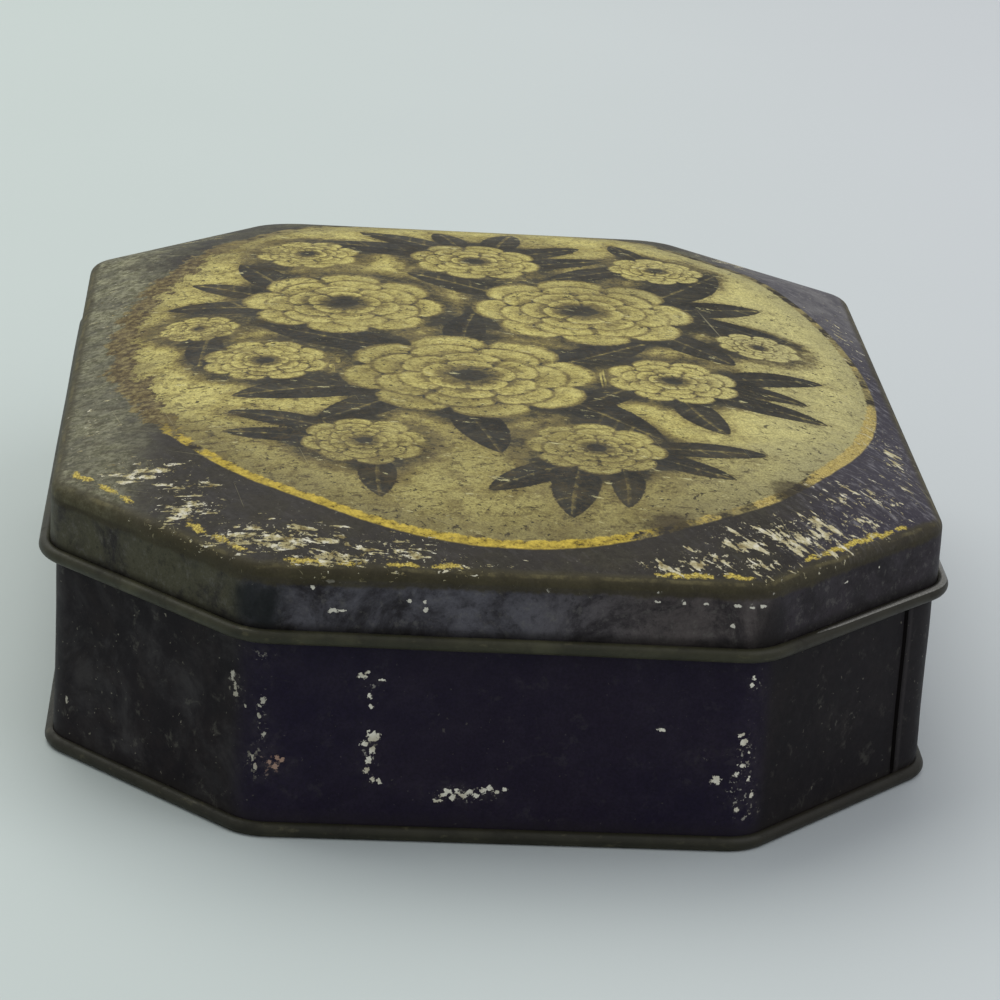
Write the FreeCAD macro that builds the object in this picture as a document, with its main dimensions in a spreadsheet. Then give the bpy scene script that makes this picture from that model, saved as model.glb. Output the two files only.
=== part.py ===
import FreeCAD, Part
import math
import os
import Sketcher

# Shallow eight-sided tin with a slip-on lid. Millimetres, +Z up.
# Origin: centre of the footprint, on the surface the tin stands on.
# X runs across the tin, Y from its front (-Y) to its back.

doc = FreeCAD.newDocument("tin_box")
V = FreeCAD.Vector

# ---------------------------------------------------------------- dimensions
SIZES = [
    ("half_width", 54.5),       # wall, outside, centre to side
    ("half_depth", 72.0),       # wall, outside, centre to front
    ("chamfer_leg", 24.5),      # cut corners, 45 degrees
    ("corner_round", 6.0),      # bend of the wall at each of the eight corners
    ("sheet_thk", 0.3),         # tinplate
    ("wall_foot", 0.8),         # underside of the wall's flange
    ("wall_rim", 32.6),         # centre of the curl along the wall's top edge
    ("rim_curl", 0.6),          # outer radius of that curl
    ("flange_out", 0.45),       # how far the flange stands out from the wall
    ("seam_x", 50.45),          # side seam, on the front right cut corner
    ("seam_y", -51.55),
    ("seam_lap", 5.0),          # overlap of the strip's two ends
    ("seam_gap", 0.3),          # crease along the seam, width and depth
    ("seam_depth", 0.14),
    ("panel_low", 0.5),         # underside of the recessed bottom panel
    ("panel_edge", -0.1),       # panel's edge, from the wall's outside
    ("foot_bead", 0.9),         # outer radius of the bottom's curled edge
    ("foot_bead_mid", 0.86),    # height of its centre: the bead stands on a narrow flat land
    ("foot_bead_out", 0.15),    # its centre, from the wall's outside
    ("lid_gap", 0.35),          # clearance of the skirt round the wall
    ("lid_edge", 34.6),         # where the shoulder runs into the crowned top
    ("crown_rise", 5.2),        # middle of the crown above that edge
    ("crown_blend", 6.6),       # how much rounder the crown's corners are inside than at its edge
    ("lid_round", 1.6),         # rounded shoulder, outside
    ("lid_bead", 0.85),         # outer radius of the lid's curled rim
    ("lid_bead_mid", 25.8),     # height of its centre
    ("wire_radius", 0.53),      # stiffening wire in the lid's rim
    ("wire_gap", 0.6),          # butt joint of the wire's ends
]
sheet = doc.addObject("Spreadsheet::Sheet", "Sizes")
for row, (alias, value) in enumerate(SIZES, start=1):
    sheet.set("A%d" % row, alias)
    sheet.set("B%d" % row, repr(value))
    sheet.setAlias("B%d" % row, alias)
doc.recompute()


def settle():
    """Recompute, and stop at once on any object that failed."""
    doc.recompute()
    failed = ["%s %s" % (o.Name, o.State) for o in doc.Objects
              if "Invalid" in o.State or "Error" in o.State]
    if failed:
        raise RuntimeError("failed: " + "; ".join(failed))


S = {alias: float(getattr(sheet, alias)) for alias, _ in SIZES}


def cell(alias):
    return "Sizes." + alias


# slope of the lid's crown where it starts at the shoulder: tangent, cosine and sine
EDGE_TAN = "(4 * %s / %s)" % (cell("crown_rise"), cell("half_width"))
EDGE_COS = "(1 / sqrt(1 + %s ^ 2))" % EDGE_TAN
EDGE_SIN = "(%s * %s)" % (EDGE_TAN, EDGE_COS)
EDGE_TAN_V = 4 * S["crown_rise"] / S["half_width"]
EDGE_COS_V = 1 / math.sqrt(1 + EDGE_TAN_V ** 2)
EDGE_SIN_V = EDGE_TAN_V * EDGE_COS_V

HW, HD = cell("half_width"), cell("half_depth")
# distance of a cut corner's face from the centre axis
DIAG = "(%s + %s - %s) * 0.70710678118" % (HW, HD, cell("chamfer_leg"))
DIAG_V = (S["half_width"] + S["half_depth"] - S["chamfer_leg"]) / math.sqrt(2.0)


def plane(body, role):
    for feature in body.Origin.OriginFeatures:
        if feature.Role == role:
            return feature
    raise RuntimeError("no plane " + role)


def new_sketch(body, name, role, height=None):
    sk = body.newObject("Sketcher::SketchObject", name)
    sk.AttachmentSupport = [(plane(body, role), "")]
    sk.MapMode = "FlatFace"
    if height is not None:
        sk.setExpression("AttachmentOffset.Base.z", height)
    return sk


def octagon(sk, out, out_v, split=False, bend=None):
    """Closed eight-sided outline with rounded corners, standing `out` outside the wall.

    Each side is held at its distance from the centre axis, so one offset moves all of them.
    With split, the right side is two lines that meet at y = 0, where the outline starts.
    With bend, an expression and its value, the corners have that radius whatever the offset.
    """
    a, b = S["half_width"] + out_v, S["half_depth"] + out_v
    d, r = DIAG_V + out_v, bend[1] if bend else S["corner_round"] + out_v
    # sides as (direction of the outward normal in degrees, distance)
    sides = [(0, a), (45, d), (90, b), (135, d), (180, a), (225, d), (270, b), (315, d)]
    corners = []
    for i in range(8):
        (t0, d0), (t1, d1) = sides[i], sides[(i + 1) % 8]
        n0 = (math.cos(math.radians(t0)), math.sin(math.radians(t0)))
        n1 = (math.cos(math.radians(t1)), math.sin(math.radians(t1)))
        det = n0[0] * n1[1] - n0[1] * n1[0]
        centre = (((d0 - r) * n1[1] - (d1 - r) * n0[1]) / det,
                  (n0[0] * (d1 - r) - n1[0] * (d0 - r)) / det)
        corners.append((centre, t0, t1 if t1 > t0 else t1 + 360))
    start = lambda i: V(corners[i][0][0] + r * math.cos(math.radians(corners[i][1])),
                        corners[i][0][1] + r * math.sin(math.radians(corners[i][1])), 0)
    end = lambda i: V(corners[i][0][0] + r * math.cos(math.radians(corners[i][2])),
                      corners[i][0][1] + r * math.sin(math.radians(corners[i][2])), 0)
    con = []
    lines, arcs = {}, {}
    if split:
        first = sk.addGeometry(Part.LineSegment(V(a, 0, 0), start(0)), False)
        lines[0] = first
    else:
        lines[0] = sk.addGeometry(Part.LineSegment(end(7), start(0)), False)
    for i in range(8):
        centre, t0, t1 = corners[i]
        circle = Part.Circle(V(centre[0], centre[1], 0), V(0, 0, 1), r)
        arcs[i] = sk.addGeometry(Part.ArcOfCircle(circle, math.radians(t0), math.radians(t1)), False)
        if i < 7:
            lines[i + 1] = sk.addGeometry(Part.LineSegment(end(i), start(i + 1)), False)
    last = lines[0]
    if split:
        last = sk.addGeometry(Part.LineSegment(end(7), V(a, 0, 0)), False)
    for i in range(8):
        con.append(Sketcher.Constraint("Tangent", lines[i], 2, arcs[i], 1))
        con.append(Sketcher.Constraint("Tangent", arcs[i], 2,
                                       last if i == 7 else lines[i + 1], 1))
    if split:
        con.append(Sketcher.Constraint("Coincident", last, 2, lines[0], 1))
        con.append(Sketcher.Constraint("PointOnObject", lines[0], 1, -1))
        con.append(Sketcher.Constraint("Vertical", last))
    con.append(Sketcher.Constraint("Vertical", lines[0]))
    con.append(Sketcher.Constraint("Vertical", lines[4]))
    con.append(Sketcher.Constraint("Horizontal", lines[2]))
    con.append(Sketcher.Constraint("Horizontal", lines[6]))
    con.append(Sketcher.Constraint("Perpendicular", lines[1], lines[3]))
    con.append(Sketcher.Constraint("Parallel", lines[1], lines[5]))
    con.append(Sketcher.Constraint("Parallel", lines[3], lines[7]))
    for i in range(1, 8):
        con.append(Sketcher.Constraint("Equal", arcs[0], arcs[i]))
    sk.addConstraint(con)
    ang = sk.addConstraint(Sketcher.Constraint("Angle", lines[1], math.radians(135)))
    sk.renameConstraint(ang, "cut")
    rad = sk.addConstraint(Sketcher.Constraint("Radius", arcs[0], r))
    sk.renameConstraint(rad, "bend")
    sk.setExpression("Constraints.bend", bend[0] if bend else "%s + (%s)" % (cell("corner_round"), out))
    for i, (t0, dist) in enumerate(sides):
        k = sk.addConstraint(Sketcher.Constraint("Distance", -1, 1, lines[i], dist))
        sk.renameConstraint(k, "side%d" % i)
        base = DIAG if i % 2 else (HW if i in (0, 4) else HD)
        sk.setExpression("Constraints.side%d" % i, "%s + (%s)" % (base, out))
    return sk


def pad(body, name, profile, length, reverse=False):
    feat = body.newObject("PartDesign::Pad", name)
    feat.Profile = profile
    feat.setExpression("Length", length)
    feat.Reversed = reverse
    return feat


def pocket(body, name, profile, length, upward=True):
    feat = body.newObject("PartDesign::Pocket", name)
    feat.Profile = profile
    feat.setExpression("Length", length)
    feat.Reversed = upward
    return feat


def curl_profile(sk, mid_x, mid_z, outer, inner, a0, a1, mid_x_e, mid_z_e, outer_e, inner_e):
    """Section of a curled sheet edge: a band between two arcs about one centre."""
    cx = V(mid_x, mid_z, 0)
    ro, ri = math.radians(a0), math.radians(a1)

    def at(radius, ang):
        return V(mid_x + radius * math.cos(ang), mid_z + radius * math.sin(ang), 0)

    go = sk.addGeometry(Part.ArcOfCircle(Part.Circle(cx, V(0, 0, 1), outer), ro, ri), False)
    gi = sk.addGeometry(Part.ArcOfCircle(Part.Circle(cx, V(0, 0, 1), inner), ro, ri), False)
    l0 = sk.addGeometry(Part.LineSegment(at(inner, ro), at(outer, ro)), False)
    l1 = sk.addGeometry(Part.LineSegment(at(outer, ri), at(inner, ri)), False)
    sk.addConstraint([
        Sketcher.Constraint("Coincident", go, 3, gi, 3),
        Sketcher.Constraint("Coincident", l0, 1, gi, 1),
        Sketcher.Constraint("Coincident", l0, 2, go, 1),
        Sketcher.Constraint("Coincident", l1, 1, go, 2),
        Sketcher.Constraint("Coincident", l1, 2, gi, 2),
        Sketcher.Constraint("PointOnObject", go, 3, l0),
        Sketcher.Constraint("PointOnObject", go, 3, l1),
    ])
    for name, kind, args, expr in (
            ("outer_r", "Radius", (go, outer), outer_e),
            ("inner_r", "Radius", (gi, inner), inner_e)):
        k = sk.addConstraint(Sketcher.Constraint(kind, *args))
        sk.renameConstraint(k, name)
        sk.setExpression("Constraints." + name, expr)
    for name, kind, value, expr in (("mid_out", "DistanceX", mid_x, mid_x_e),
                                    ("mid_up", "DistanceY", mid_z, mid_z_e)):
        k = sk.addConstraint(Sketcher.Constraint(kind, -1, 1, go, 3, value))
        sk.renameConstraint(k, name)
        sk.setExpression("Constraints." + name, expr)
    for name, line, ang in (("from_angle", l0, a0), ("to_angle", l1, a1 + 180)):
        k = sk.addConstraint(Sketcher.Constraint("Angle", line,
                                                 (math.radians(ang) + math.pi) % (2 * math.pi) - math.pi))
        sk.renameConstraint(k, name)
    return sk


def sweep(body, name, profile, spine):
    feat = body.newObject("PartDesign::AdditivePipe", name)
    feat.Profile = profile
    feat.Spine = spine
    feat.Mode = "Standard"
    feat.Transition = "Transformed"
    return feat


# ---------------------------------------------------------------- body wall
wall = doc.addObject("PartDesign::Body", "BodyWall")
wall.Label = "body_wall"
flange_sk = octagon(new_sketch(wall, "FlangeOutline", "XY_Plane", cell("wall_foot")),
                    cell("flange_out"), S["flange_out"])
pad(wall, "Flange", flange_sk, cell("sheet_thk"))
web_sk = octagon(new_sketch(wall, "WallOutline", "XY_Plane", cell("wall_foot")), "0", 0.0)
pad(wall, "Web", web_sk, "%s - %s" % (cell("wall_rim"), cell("wall_foot")))
inside_sk = octagon(new_sketch(wall, "WallInside", "XY_Plane", cell("wall_foot")),
                    "-" + cell("sheet_thk"), -S["sheet_thk"])
pocket(wall, "Hollow", inside_sk, "%s - %s" % (cell("wall_rim"), cell("wall_foot")))
# inward curl along the top edge
wall_path = octagon(new_sketch(wall, "RimPath", "XY_Plane", cell("wall_rim")), "0", 0.0, split=True)
rim_sk = curl_profile(new_sketch(wall, "RimSection", "XZ_Plane"),
                      S["half_width"] - S["rim_curl"], S["wall_rim"], S["rim_curl"],
                      S["rim_curl"] - S["sheet_thk"], 0, 262,
                      "%s - %s" % (HW, cell("rim_curl")), cell("wall_rim"), cell("rim_curl"),
                      "%s - %s" % (cell("rim_curl"), cell("sheet_thk")))
settle()
sweep(wall, "RimCurl", rim_sk, wall_path)
settle()


def seam_box(body, name, along0, along1, along0_e, along1_e, in0, in1, in0_e, in1_e):
    """Rectangle at the side seam: local x runs along the cut corner to the rear, y faces in."""
    sk = body.newObject("Sketcher::SketchObject", name)
    sk.AttachmentSupport = [(plane(body, "XY_Plane"), "")]
    sk.MapMode = "FlatFace"
    sk.AttachmentOffset = FreeCAD.Placement(V(S["seam_x"], S["seam_y"], S["wall_foot"]),
                                            FreeCAD.Rotation(V(0, 0, 1), 45))
    sk.setExpression("AttachmentOffset.Base.x", cell("seam_x"))
    sk.setExpression("AttachmentOffset.Base.y", cell("seam_y"))
    sk.setExpression("AttachmentOffset.Base.z", "%s + %s" % (cell("wall_foot"), cell("sheet_thk")))
    pts = [V(along0, in0, 0), V(along1, in0, 0), V(along1, in1, 0), V(along0, in1, 0)]
    for k in range(4):
        sk.addGeometry(Part.LineSegment(pts[k], pts[(k + 1) % 4]), False)
    sk.addConstraint([Sketcher.Constraint("Coincident", k, 2, (k + 1) % 4, 1) for k in range(4)])
    sk.addConstraint([Sketcher.Constraint("Horizontal", 0), Sketcher.Constraint("Vertical", 1),
                      Sketcher.Constraint("Horizontal", 2), Sketcher.Constraint("Vertical", 3)])
    for cname, kind, geo, pos, value, expr in (
            ("x_low", "DistanceX", 0, 1, along0, along0_e), ("x_high", "DistanceX", 1, 2, along1, along1_e),
            ("y_low", "DistanceY", 0, 1, in0, in0_e), ("y_high", "DistanceY", 2, 1, in1, in1_e)):
        k = sk.addConstraint(Sketcher.Constraint(kind, -1, 1, geo, pos, value))
        sk.renameConstraint(k, cname)
        sk.setExpression("Constraints." + cname, expr)
    return sk


web_tall = "%s - %s - %s - %s" % (cell("wall_rim"), cell("rim_curl"), cell("wall_foot"),
                                  cell("sheet_thk"))
# the strip's inner end, lapped behind the outer one towards the front
lap_sk = seam_box(wall, "LapOutline", -S["seam_lap"], -0.2, "-" + cell("seam_lap"), "-0.2",
                  2 * S["sheet_thk"] - 0.02, S["sheet_thk"] - 0.1,
                  "2 * %s - 0.02" % cell("sheet_thk"), "%s - 0.1" % cell("sheet_thk"))
settle()
pad(wall, "Lap", lap_sk, web_tall)
settle()
before = wall.Shape.Volume
crease_sk = seam_box(wall, "CreaseOutline", -S["seam_gap"] / 2, S["seam_gap"] / 2,
                     "-%s / 2" % cell("seam_gap"), "%s / 2" % cell("seam_gap"),
                     S["seam_depth"], -0.4, cell("seam_depth"), "-0.4")
pocket(wall, "Crease", crease_sk, web_tall)

# ---------------------------------------------------------------- bottom
bottom = doc.addObject("PartDesign::Body", "Bottom")
bottom.Label = "bottom_plate"
panel_sk = octagon(new_sketch(bottom, "PanelOutline", "XY_Plane", cell("panel_low")),
                   cell("panel_edge"), S["panel_edge"])
pad(bottom, "Panel", panel_sk, cell("sheet_thk"))
foot_path = octagon(new_sketch(bottom, "BeadPath", "XY_Plane", cell("foot_bead_mid")), "0", 0.0, split=True)
foot_sk = curl_profile(new_sketch(bottom, "BeadSection", "XZ_Plane"),
                       S["half_width"] + S["foot_bead_out"], S["foot_bead_mid"], S["foot_bead"],
                       S["foot_bead"] - S["sheet_thk"], 188, 455,
                       "%s + %s" % (HW, cell("foot_bead_out")), cell("foot_bead_mid"), cell("foot_bead"),
                       "%s - %s" % (cell("foot_bead"), cell("sheet_thk")))
sweep(bottom, "Bead", foot_sk, foot_path)
settle()
round_foot = bottom.Shape.Volume
# the land that the tin stands on
land_sk = octagon(new_sketch(bottom, "LandOutline", "XY_Plane", "0"), "3", 3.0)
pocket(bottom, "Land", land_sk, "1", upward=False)

# ---------------------------------------------------------------- lid
lid = doc.addObject("PartDesign::Body", "Lid")
lid.Label = "lid_shell"
skirt_out = "%s + %s" % (cell("lid_gap"), cell("sheet_thk"))
skirt_v = S["lid_gap"] + S["sheet_thk"]
# centre of the shoulder's bend: height, and distance outside the wall
bend_up = "(%s - %s * %s)" % (cell("lid_edge"), cell("lid_round"), EDGE_COS)
bend_up_v = S["lid_edge"] - S["lid_round"] * EDGE_COS_V
bend_out = "(%s - %s)" % (skirt_out, cell("lid_round"))
bend_out_v = skirt_v - S["lid_round"]
skirt_tall = "%s - %s" % (bend_up, cell("lid_bead_mid"))
lid_sk = octagon(new_sketch(lid, "SkirtOutline", "XY_Plane", cell("lid_bead_mid")), skirt_out, skirt_v)
pad(lid, "Skirt", lid_sk, skirt_tall)
lid_in_sk = octagon(new_sketch(lid, "SkirtInside", "XY_Plane", cell("lid_bead_mid")),
                    cell("lid_gap"), S["lid_gap"])
pocket(lid, "SkirtHollow", lid_in_sk, skirt_tall)
settle()
# rounded shoulder between the skirt and the top
lid_path = octagon(new_sketch(lid, "LidPath", "XY_Plane", cell("lid_bead_mid")), "0", 0.0, split=True)
edge_angle = math.degrees(math.atan(EDGE_TAN_V))
shoulder_sk = curl_profile(new_sketch(lid, "ShoulderSection", "XZ_Plane"),
                           S["half_width"] + bend_out_v, bend_up_v,
                           S["lid_round"], S["lid_round"] - S["sheet_thk"], 0, 90 - edge_angle,
                           "%s + %s" % (HW, bend_out), bend_up, cell("lid_round"),
                           "%s - %s" % (cell("lid_round"), cell("sheet_thk")))
sweep(lid, "Shoulder", shoulder_sk, lid_path)
settle()

# crowned top: outlines stepping in and up from the shoulder, steep at first and nearly flat inside
STEPS = [0.0, 0.05, 0.11, 0.18, 0.26, 0.36, 0.48]     # distance in from the edge / half width
EASE = [0.0, 0.35, 0.62, 0.83, 0.95, 1.0, 1.0]        # share of crown_blend there


def crown_outlines(name, under):
    """Outlines of the crown's outside, or of its inside one sheet thickness under it."""
    outlines = []
    radius = "(%s - %s)" % (cell("lid_round"), cell("sheet_thk") if under else "%s / 2" % cell("sheet_thk"))
    radius_v = S["lid_round"] - S["sheet_thk"] * (1.0 if under else 0.5)
    # first one inside the shoulder's sheet, so that the crown runs into it
    turn = 0.66 if under else 0.7071
    out_turn = math.sqrt(1.0 - turn * turn)
    sk = new_sketch(lid, name + "Root", "XY_Plane", "%s + %s * %.6f" % (bend_up, radius, turn))
    octagon(sk, "%s + %s * %.6f" % (bend_out, radius, out_turn), bend_out_v + radius_v * out_turn,
            bend=(cell("corner_round"), S["corner_round"]))
    outlines.append(sk)
    for k, q in enumerate(STEPS):
        fall = (1.0 - q) ** 3
        tan_v = EDGE_TAN_V * fall
        cos_v = 1.0 / math.sqrt(1.0 + tan_v * tan_v)
        cos = "(1 / sqrt(1 + (%s * %.6f) ^ 2))" % (EDGE_TAN, fall)
        out = "%s + %s * %s - %s * %.4f" % (bend_out, cell("lid_round"), EDGE_SIN, HW, q)
        out_v = bend_out_v + S["lid_round"] * EDGE_SIN_V - S["half_width"] * q
        up = "%s + %s * %.6f" % (cell("lid_edge"), cell("crown_rise"), 1.0 - (1.0 - q) ** 4)
        if under:
            out += " - %s * %s * %.6f * %s" % (cell("sheet_thk"), EDGE_TAN, fall, cos)
            out_v -= S["sheet_thk"] * tan_v * cos_v
            up += " - %s * %s" % (cell("sheet_thk"), cos)
        sk = new_sketch(lid, "%s%d" % (name, k), "XY_Plane", up)
        octagon(sk, out, out_v, bend=("%s + %s * %.4f" % (cell("corner_round"), cell("crown_blend"), EASE[k]),
                                      S["corner_round"] + S["crown_blend"] * EASE[k]))
        outlines.append(sk)
    return outlines


def loft(body, kind, name, outlines):
    feat = body.newObject(kind, name)
    feat.Profile = outlines[0]
    feat.Sections = outlines[1:]
    feat.Ruled = True
    return feat


crown_out = crown_outlines("CrownOutside", False)
settle()
loft(lid, "PartDesign::AdditiveLoft", "Crown", crown_out)
settle()
full_crown = lid.Shape.Volume
crown_in = crown_outlines("CrownInside", True)
settle()
loft(lid, "PartDesign::SubtractiveLoft", "CrownHollow", crown_in)
settle()
if not lid.Shape.Volume < 0.4 * full_crown:
    raise RuntimeError("the crown is not hollow")
# outward curl along the skirt's lower edge
bead_mid = "%s + %s + %s" % (HW, cell("lid_gap"), cell("lid_bead"))
bead_mid_v = S["half_width"] + S["lid_gap"] + S["lid_bead"]
lid_bead_sk = curl_profile(new_sketch(lid, "LidBeadSection", "XZ_Plane"),
                           bead_mid_v, S["lid_bead_mid"], S["lid_bead"],
                           S["lid_bead"] - S["sheet_thk"], 180, 482,
                           bead_mid, cell("lid_bead_mid"), cell("lid_bead"),
                           "%s - %s" % (cell("lid_bead"), cell("sheet_thk")))
sweep(lid, "LidBead", lid_bead_sk, lid_path)

# ---------------------------------------------------------------- wire in the lid's rim
wire = doc.addObject("PartDesign::Body", "RimWire")
wire.Label = "lid_rim_wire"
wire_path = octagon(new_sketch(wire, "WirePath", "XY_Plane", cell("lid_bead_mid")), "0", 0.0, split=True)
wire_sk = new_sketch(wire, "WireSection", "XZ_Plane")
g = wire_sk.addGeometry(Part.Circle(V(bead_mid_v, S["lid_bead_mid"], 0), V(0, 0, 1),
                                    S["wire_radius"]), False)
for cname, kind, value, expr in (("mid_out", "DistanceX", bead_mid_v, bead_mid),
                                 ("mid_up", "DistanceY", S["lid_bead_mid"], cell("lid_bead_mid"))):
    k = wire_sk.addConstraint(Sketcher.Constraint(kind, -1, 1, g, 3, value))
    wire_sk.renameConstraint(k, cname)
    wire_sk.setExpression("Constraints." + cname, expr)
k = wire_sk.addConstraint(Sketcher.Constraint("Radius", g, S["wire_radius"]))
wire_sk.renameConstraint(k, "radius")
wire_sk.setExpression("Constraints.radius", cell("wire_radius"))
sweep(wire, "Wire", wire_sk, wire_path)
# butt joint of the wire's ends, at the middle of the back
butt_sk = new_sketch(wire, "ButtOutline", "XZ_Plane")
w2, z0 = S["wire_gap"] / 2, S["lid_bead_mid"]
pts = [V(-w2, z0 - 1, 0), V(w2, z0 - 1, 0), V(w2, z0 + 1, 0), V(-w2, z0 + 1, 0)]
for k in range(4):
    butt_sk.addGeometry(Part.LineSegment(pts[k], pts[(k + 1) % 4]), False)
butt_sk.addConstraint([Sketcher.Constraint("Coincident", k, 2, (k + 1) % 4, 1) for k in range(4)])
butt_sk.addConstraint([Sketcher.Constraint("Horizontal", 0), Sketcher.Constraint("Vertical", 1),
                       Sketcher.Constraint("Horizontal", 2), Sketcher.Constraint("Vertical", 3)])
for cname, kind, geo, pos, value, expr in (
        ("x_low", "DistanceX", 0, 1, -w2, "-%s / 2" % cell("wire_gap")),
        ("x_high", "DistanceX", 1, 2, w2, "%s / 2" % cell("wire_gap")),
        ("z_low", "DistanceY", 0, 1, z0 - 1, "%s - 1" % cell("lid_bead_mid")),
        ("z_high", "DistanceY", 2, 1, z0 + 1, "%s + 1" % cell("lid_bead_mid"))):
    k = butt_sk.addConstraint(Sketcher.Constraint(kind, -1, 1, geo, pos, value))
    butt_sk.renameConstraint(k, cname)
    butt_sk.setExpression("Constraints." + cname, expr)
settle()
wire_before = wire.Shape.Volume
butt = wire.newObject("PartDesign::Pocket", "Butt")
butt.Profile = butt_sk
butt.Length = 200.0
butt.Reversed = False

# ---------------------------------------------------------------- check and write
settle()
pieces = [wall, bottom, lid, wire]
for piece in pieces:
    shape = piece.Shape
    if shape.isNull() or not shape.isValid() or len(shape.Solids) != 1:
        raise RuntimeError("bad shape: %s, %d solids" % (piece.Label, len(shape.Solids)))
if not wall.Shape.Volume < before:
    raise RuntimeError("the seam's crease cut nothing")
if not bottom.Shape.Volume < round_foot:
    raise RuntimeError("the land cut nothing")
if not wire.Shape.Volume < wire_before:
    raise RuntimeError("the wire's joint cut nothing")
os.makedirs("parts", exist_ok=True)
for piece in pieces:
    piece.Shape.exportStep("parts/%s.step" % piece.Label)
    box = piece.Shape.BoundBox
    print("%-14s vol %9.1f  x %.2f %.2f  y %.2f %.2f  z %.2f %.2f" % (
        piece.Label, piece.Shape.Volume, box.XMin, box.XMax, box.YMin, box.YMax, box.ZMin, box.ZMax))
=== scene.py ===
import math
import bpy
import numpy as np
from mathutils import Matrix


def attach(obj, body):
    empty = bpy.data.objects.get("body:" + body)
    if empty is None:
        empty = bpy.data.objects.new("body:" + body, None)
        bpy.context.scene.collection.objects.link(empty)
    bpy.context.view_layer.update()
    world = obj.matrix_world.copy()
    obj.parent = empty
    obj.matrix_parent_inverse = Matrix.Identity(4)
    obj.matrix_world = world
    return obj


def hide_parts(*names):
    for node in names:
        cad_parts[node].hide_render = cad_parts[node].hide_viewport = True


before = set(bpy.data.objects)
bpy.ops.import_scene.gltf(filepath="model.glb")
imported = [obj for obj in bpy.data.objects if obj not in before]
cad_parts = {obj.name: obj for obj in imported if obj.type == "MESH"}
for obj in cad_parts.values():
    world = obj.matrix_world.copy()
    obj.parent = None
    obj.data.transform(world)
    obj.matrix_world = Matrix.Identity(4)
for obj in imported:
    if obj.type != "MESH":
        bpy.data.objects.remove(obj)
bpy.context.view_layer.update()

# Lengths in this file are millimetres until a mesh is written, in metres.
MM = 0.001

# ---------------------------------------------------------------------------
# Outline of the tin: an oblong with cut, rounded corners
# ---------------------------------------------------------------------------
HALF_W, HALF_D, LEG, BEND = 54.5, 72.0, 24.5, 6.0
DIAG = (HALF_W + HALF_D - LEG) / math.sqrt(2.0)
SIDES = [(0, HALF_W), (45, DIAG), (90, HALF_D), (135, DIAG),
         (180, HALF_W), (225, DIAG), (270, HALF_D), (315, DIAG)]
SHEET = 0.3


def facing(deg):
    return np.array([math.cos(math.radians(deg)), math.sin(math.radians(deg))])


class Outline:
    """Stations round the tin, counter-clockwise seen from above, the same for every offset."""

    def __init__(self, step, more=()):
        """more holds extra stations as (kind, index, share), kind 0 on a side and 1 on a corner."""
        stations = list(more)
        cut = 2 * BEND * math.tan(math.radians(22.5))
        lengths = [2 * (HALF_D - LEG) - cut, LEG * math.sqrt(2.0) - cut, 2 * (HALF_W - LEG) - cut,
                   LEG * math.sqrt(2.0) - cut] * 2
        for i, length in enumerate(lengths):
            n = max(2, int(round(length / step)))
            stations += [(0, i, k / n) for k in range(n)]
            n = max(10, int(round(BEND * math.pi / 4 / step)))
            stations += [(1, i, k / n) for k in range(n)]
        stations = sorted(set(stations), key=lambda s: (s[1], s[0], s[2]))
        self.kind = np.array([s[0] for s in stations])
        self.index = np.array([s[1] for s in stations])
        self.share = np.array([s[2] for s in stations], float)
        turn = np.radians(45.0 * self.index + np.where(self.kind == 1, 45.0 * self.share, 0.0))
        self.normal = np.stack([np.cos(turn), np.sin(turn)], 1)
        flat = self.at(0.0)
        gaps = np.linalg.norm(np.roll(flat, -1, 0) - flat, axis=1)
        self.run = np.concatenate([[0.0], np.cumsum(gaps)[:-1]])
        self.total = float(gaps.sum())
        self.count = len(stations)

    def at(self, out, bend=None):
        r = BEND + out if bend is None else bend
        centres = []
        for i in range(8):
            (t0, d0), (t1, d1) = SIDES[i], SIDES[(i + 1) % 8]
            m = np.array([facing(t0), facing(t1)])
            centres.append(np.linalg.solve(m, np.array([d0 + out - r, d1 + out - r])))
        centres = np.array(centres)
        first = np.array([centres[i] + r * facing(45 * i) for i in range(8)])
        last = np.array([centres[i] + r * facing(45 * (i + 1)) for i in range(8)])
        i, u = self.index, self.share[:, None]
        on_side = last[(i - 1) % 8] * (1 - u) + first[i] * u
        return np.where((self.kind == 1)[:, None], centres[i] + r * self.normal, on_side)


def inset_of(x, y, out):
    """How far inside the outline offset by out a point lies."""
    return np.minimum(np.minimum(HALF_W + out - np.abs(x), HALF_D + out - np.abs(y)),
                      DIAG + out - (np.abs(x) + np.abs(y)) / math.sqrt(2.0))


def waves(x, y, z, seed, length):
    """Smooth uneven field of about -1 to 1 with features of about that length."""
    g = np.random.default_rng(seed)
    total = 0.0
    for _ in range(7):
        d = g.normal(size=3)
        d *= 2 * math.pi / (length * g.uniform(0.8, 1.9) * np.linalg.norm(d))
        total = total + np.sin(x * d[0] + y * d[1] + z * d[2] + g.uniform(0, 6.28))
    return total / 4.0


def step01(lo, hi, v):
    t = np.clip((v - lo) / (hi - lo), 0.0, 1.0)
    return t * t * (3 - 2 * t)


def arc(mid_out, mid_up, radius, start, end, n):
    """Points (out, up) of an arc in the sheet's section, angles in degrees."""
    t = np.radians(np.linspace(start, end, n))
    return [(mid_out + radius * math.cos(a), mid_up + radius * math.sin(a)) for a in t]


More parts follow.
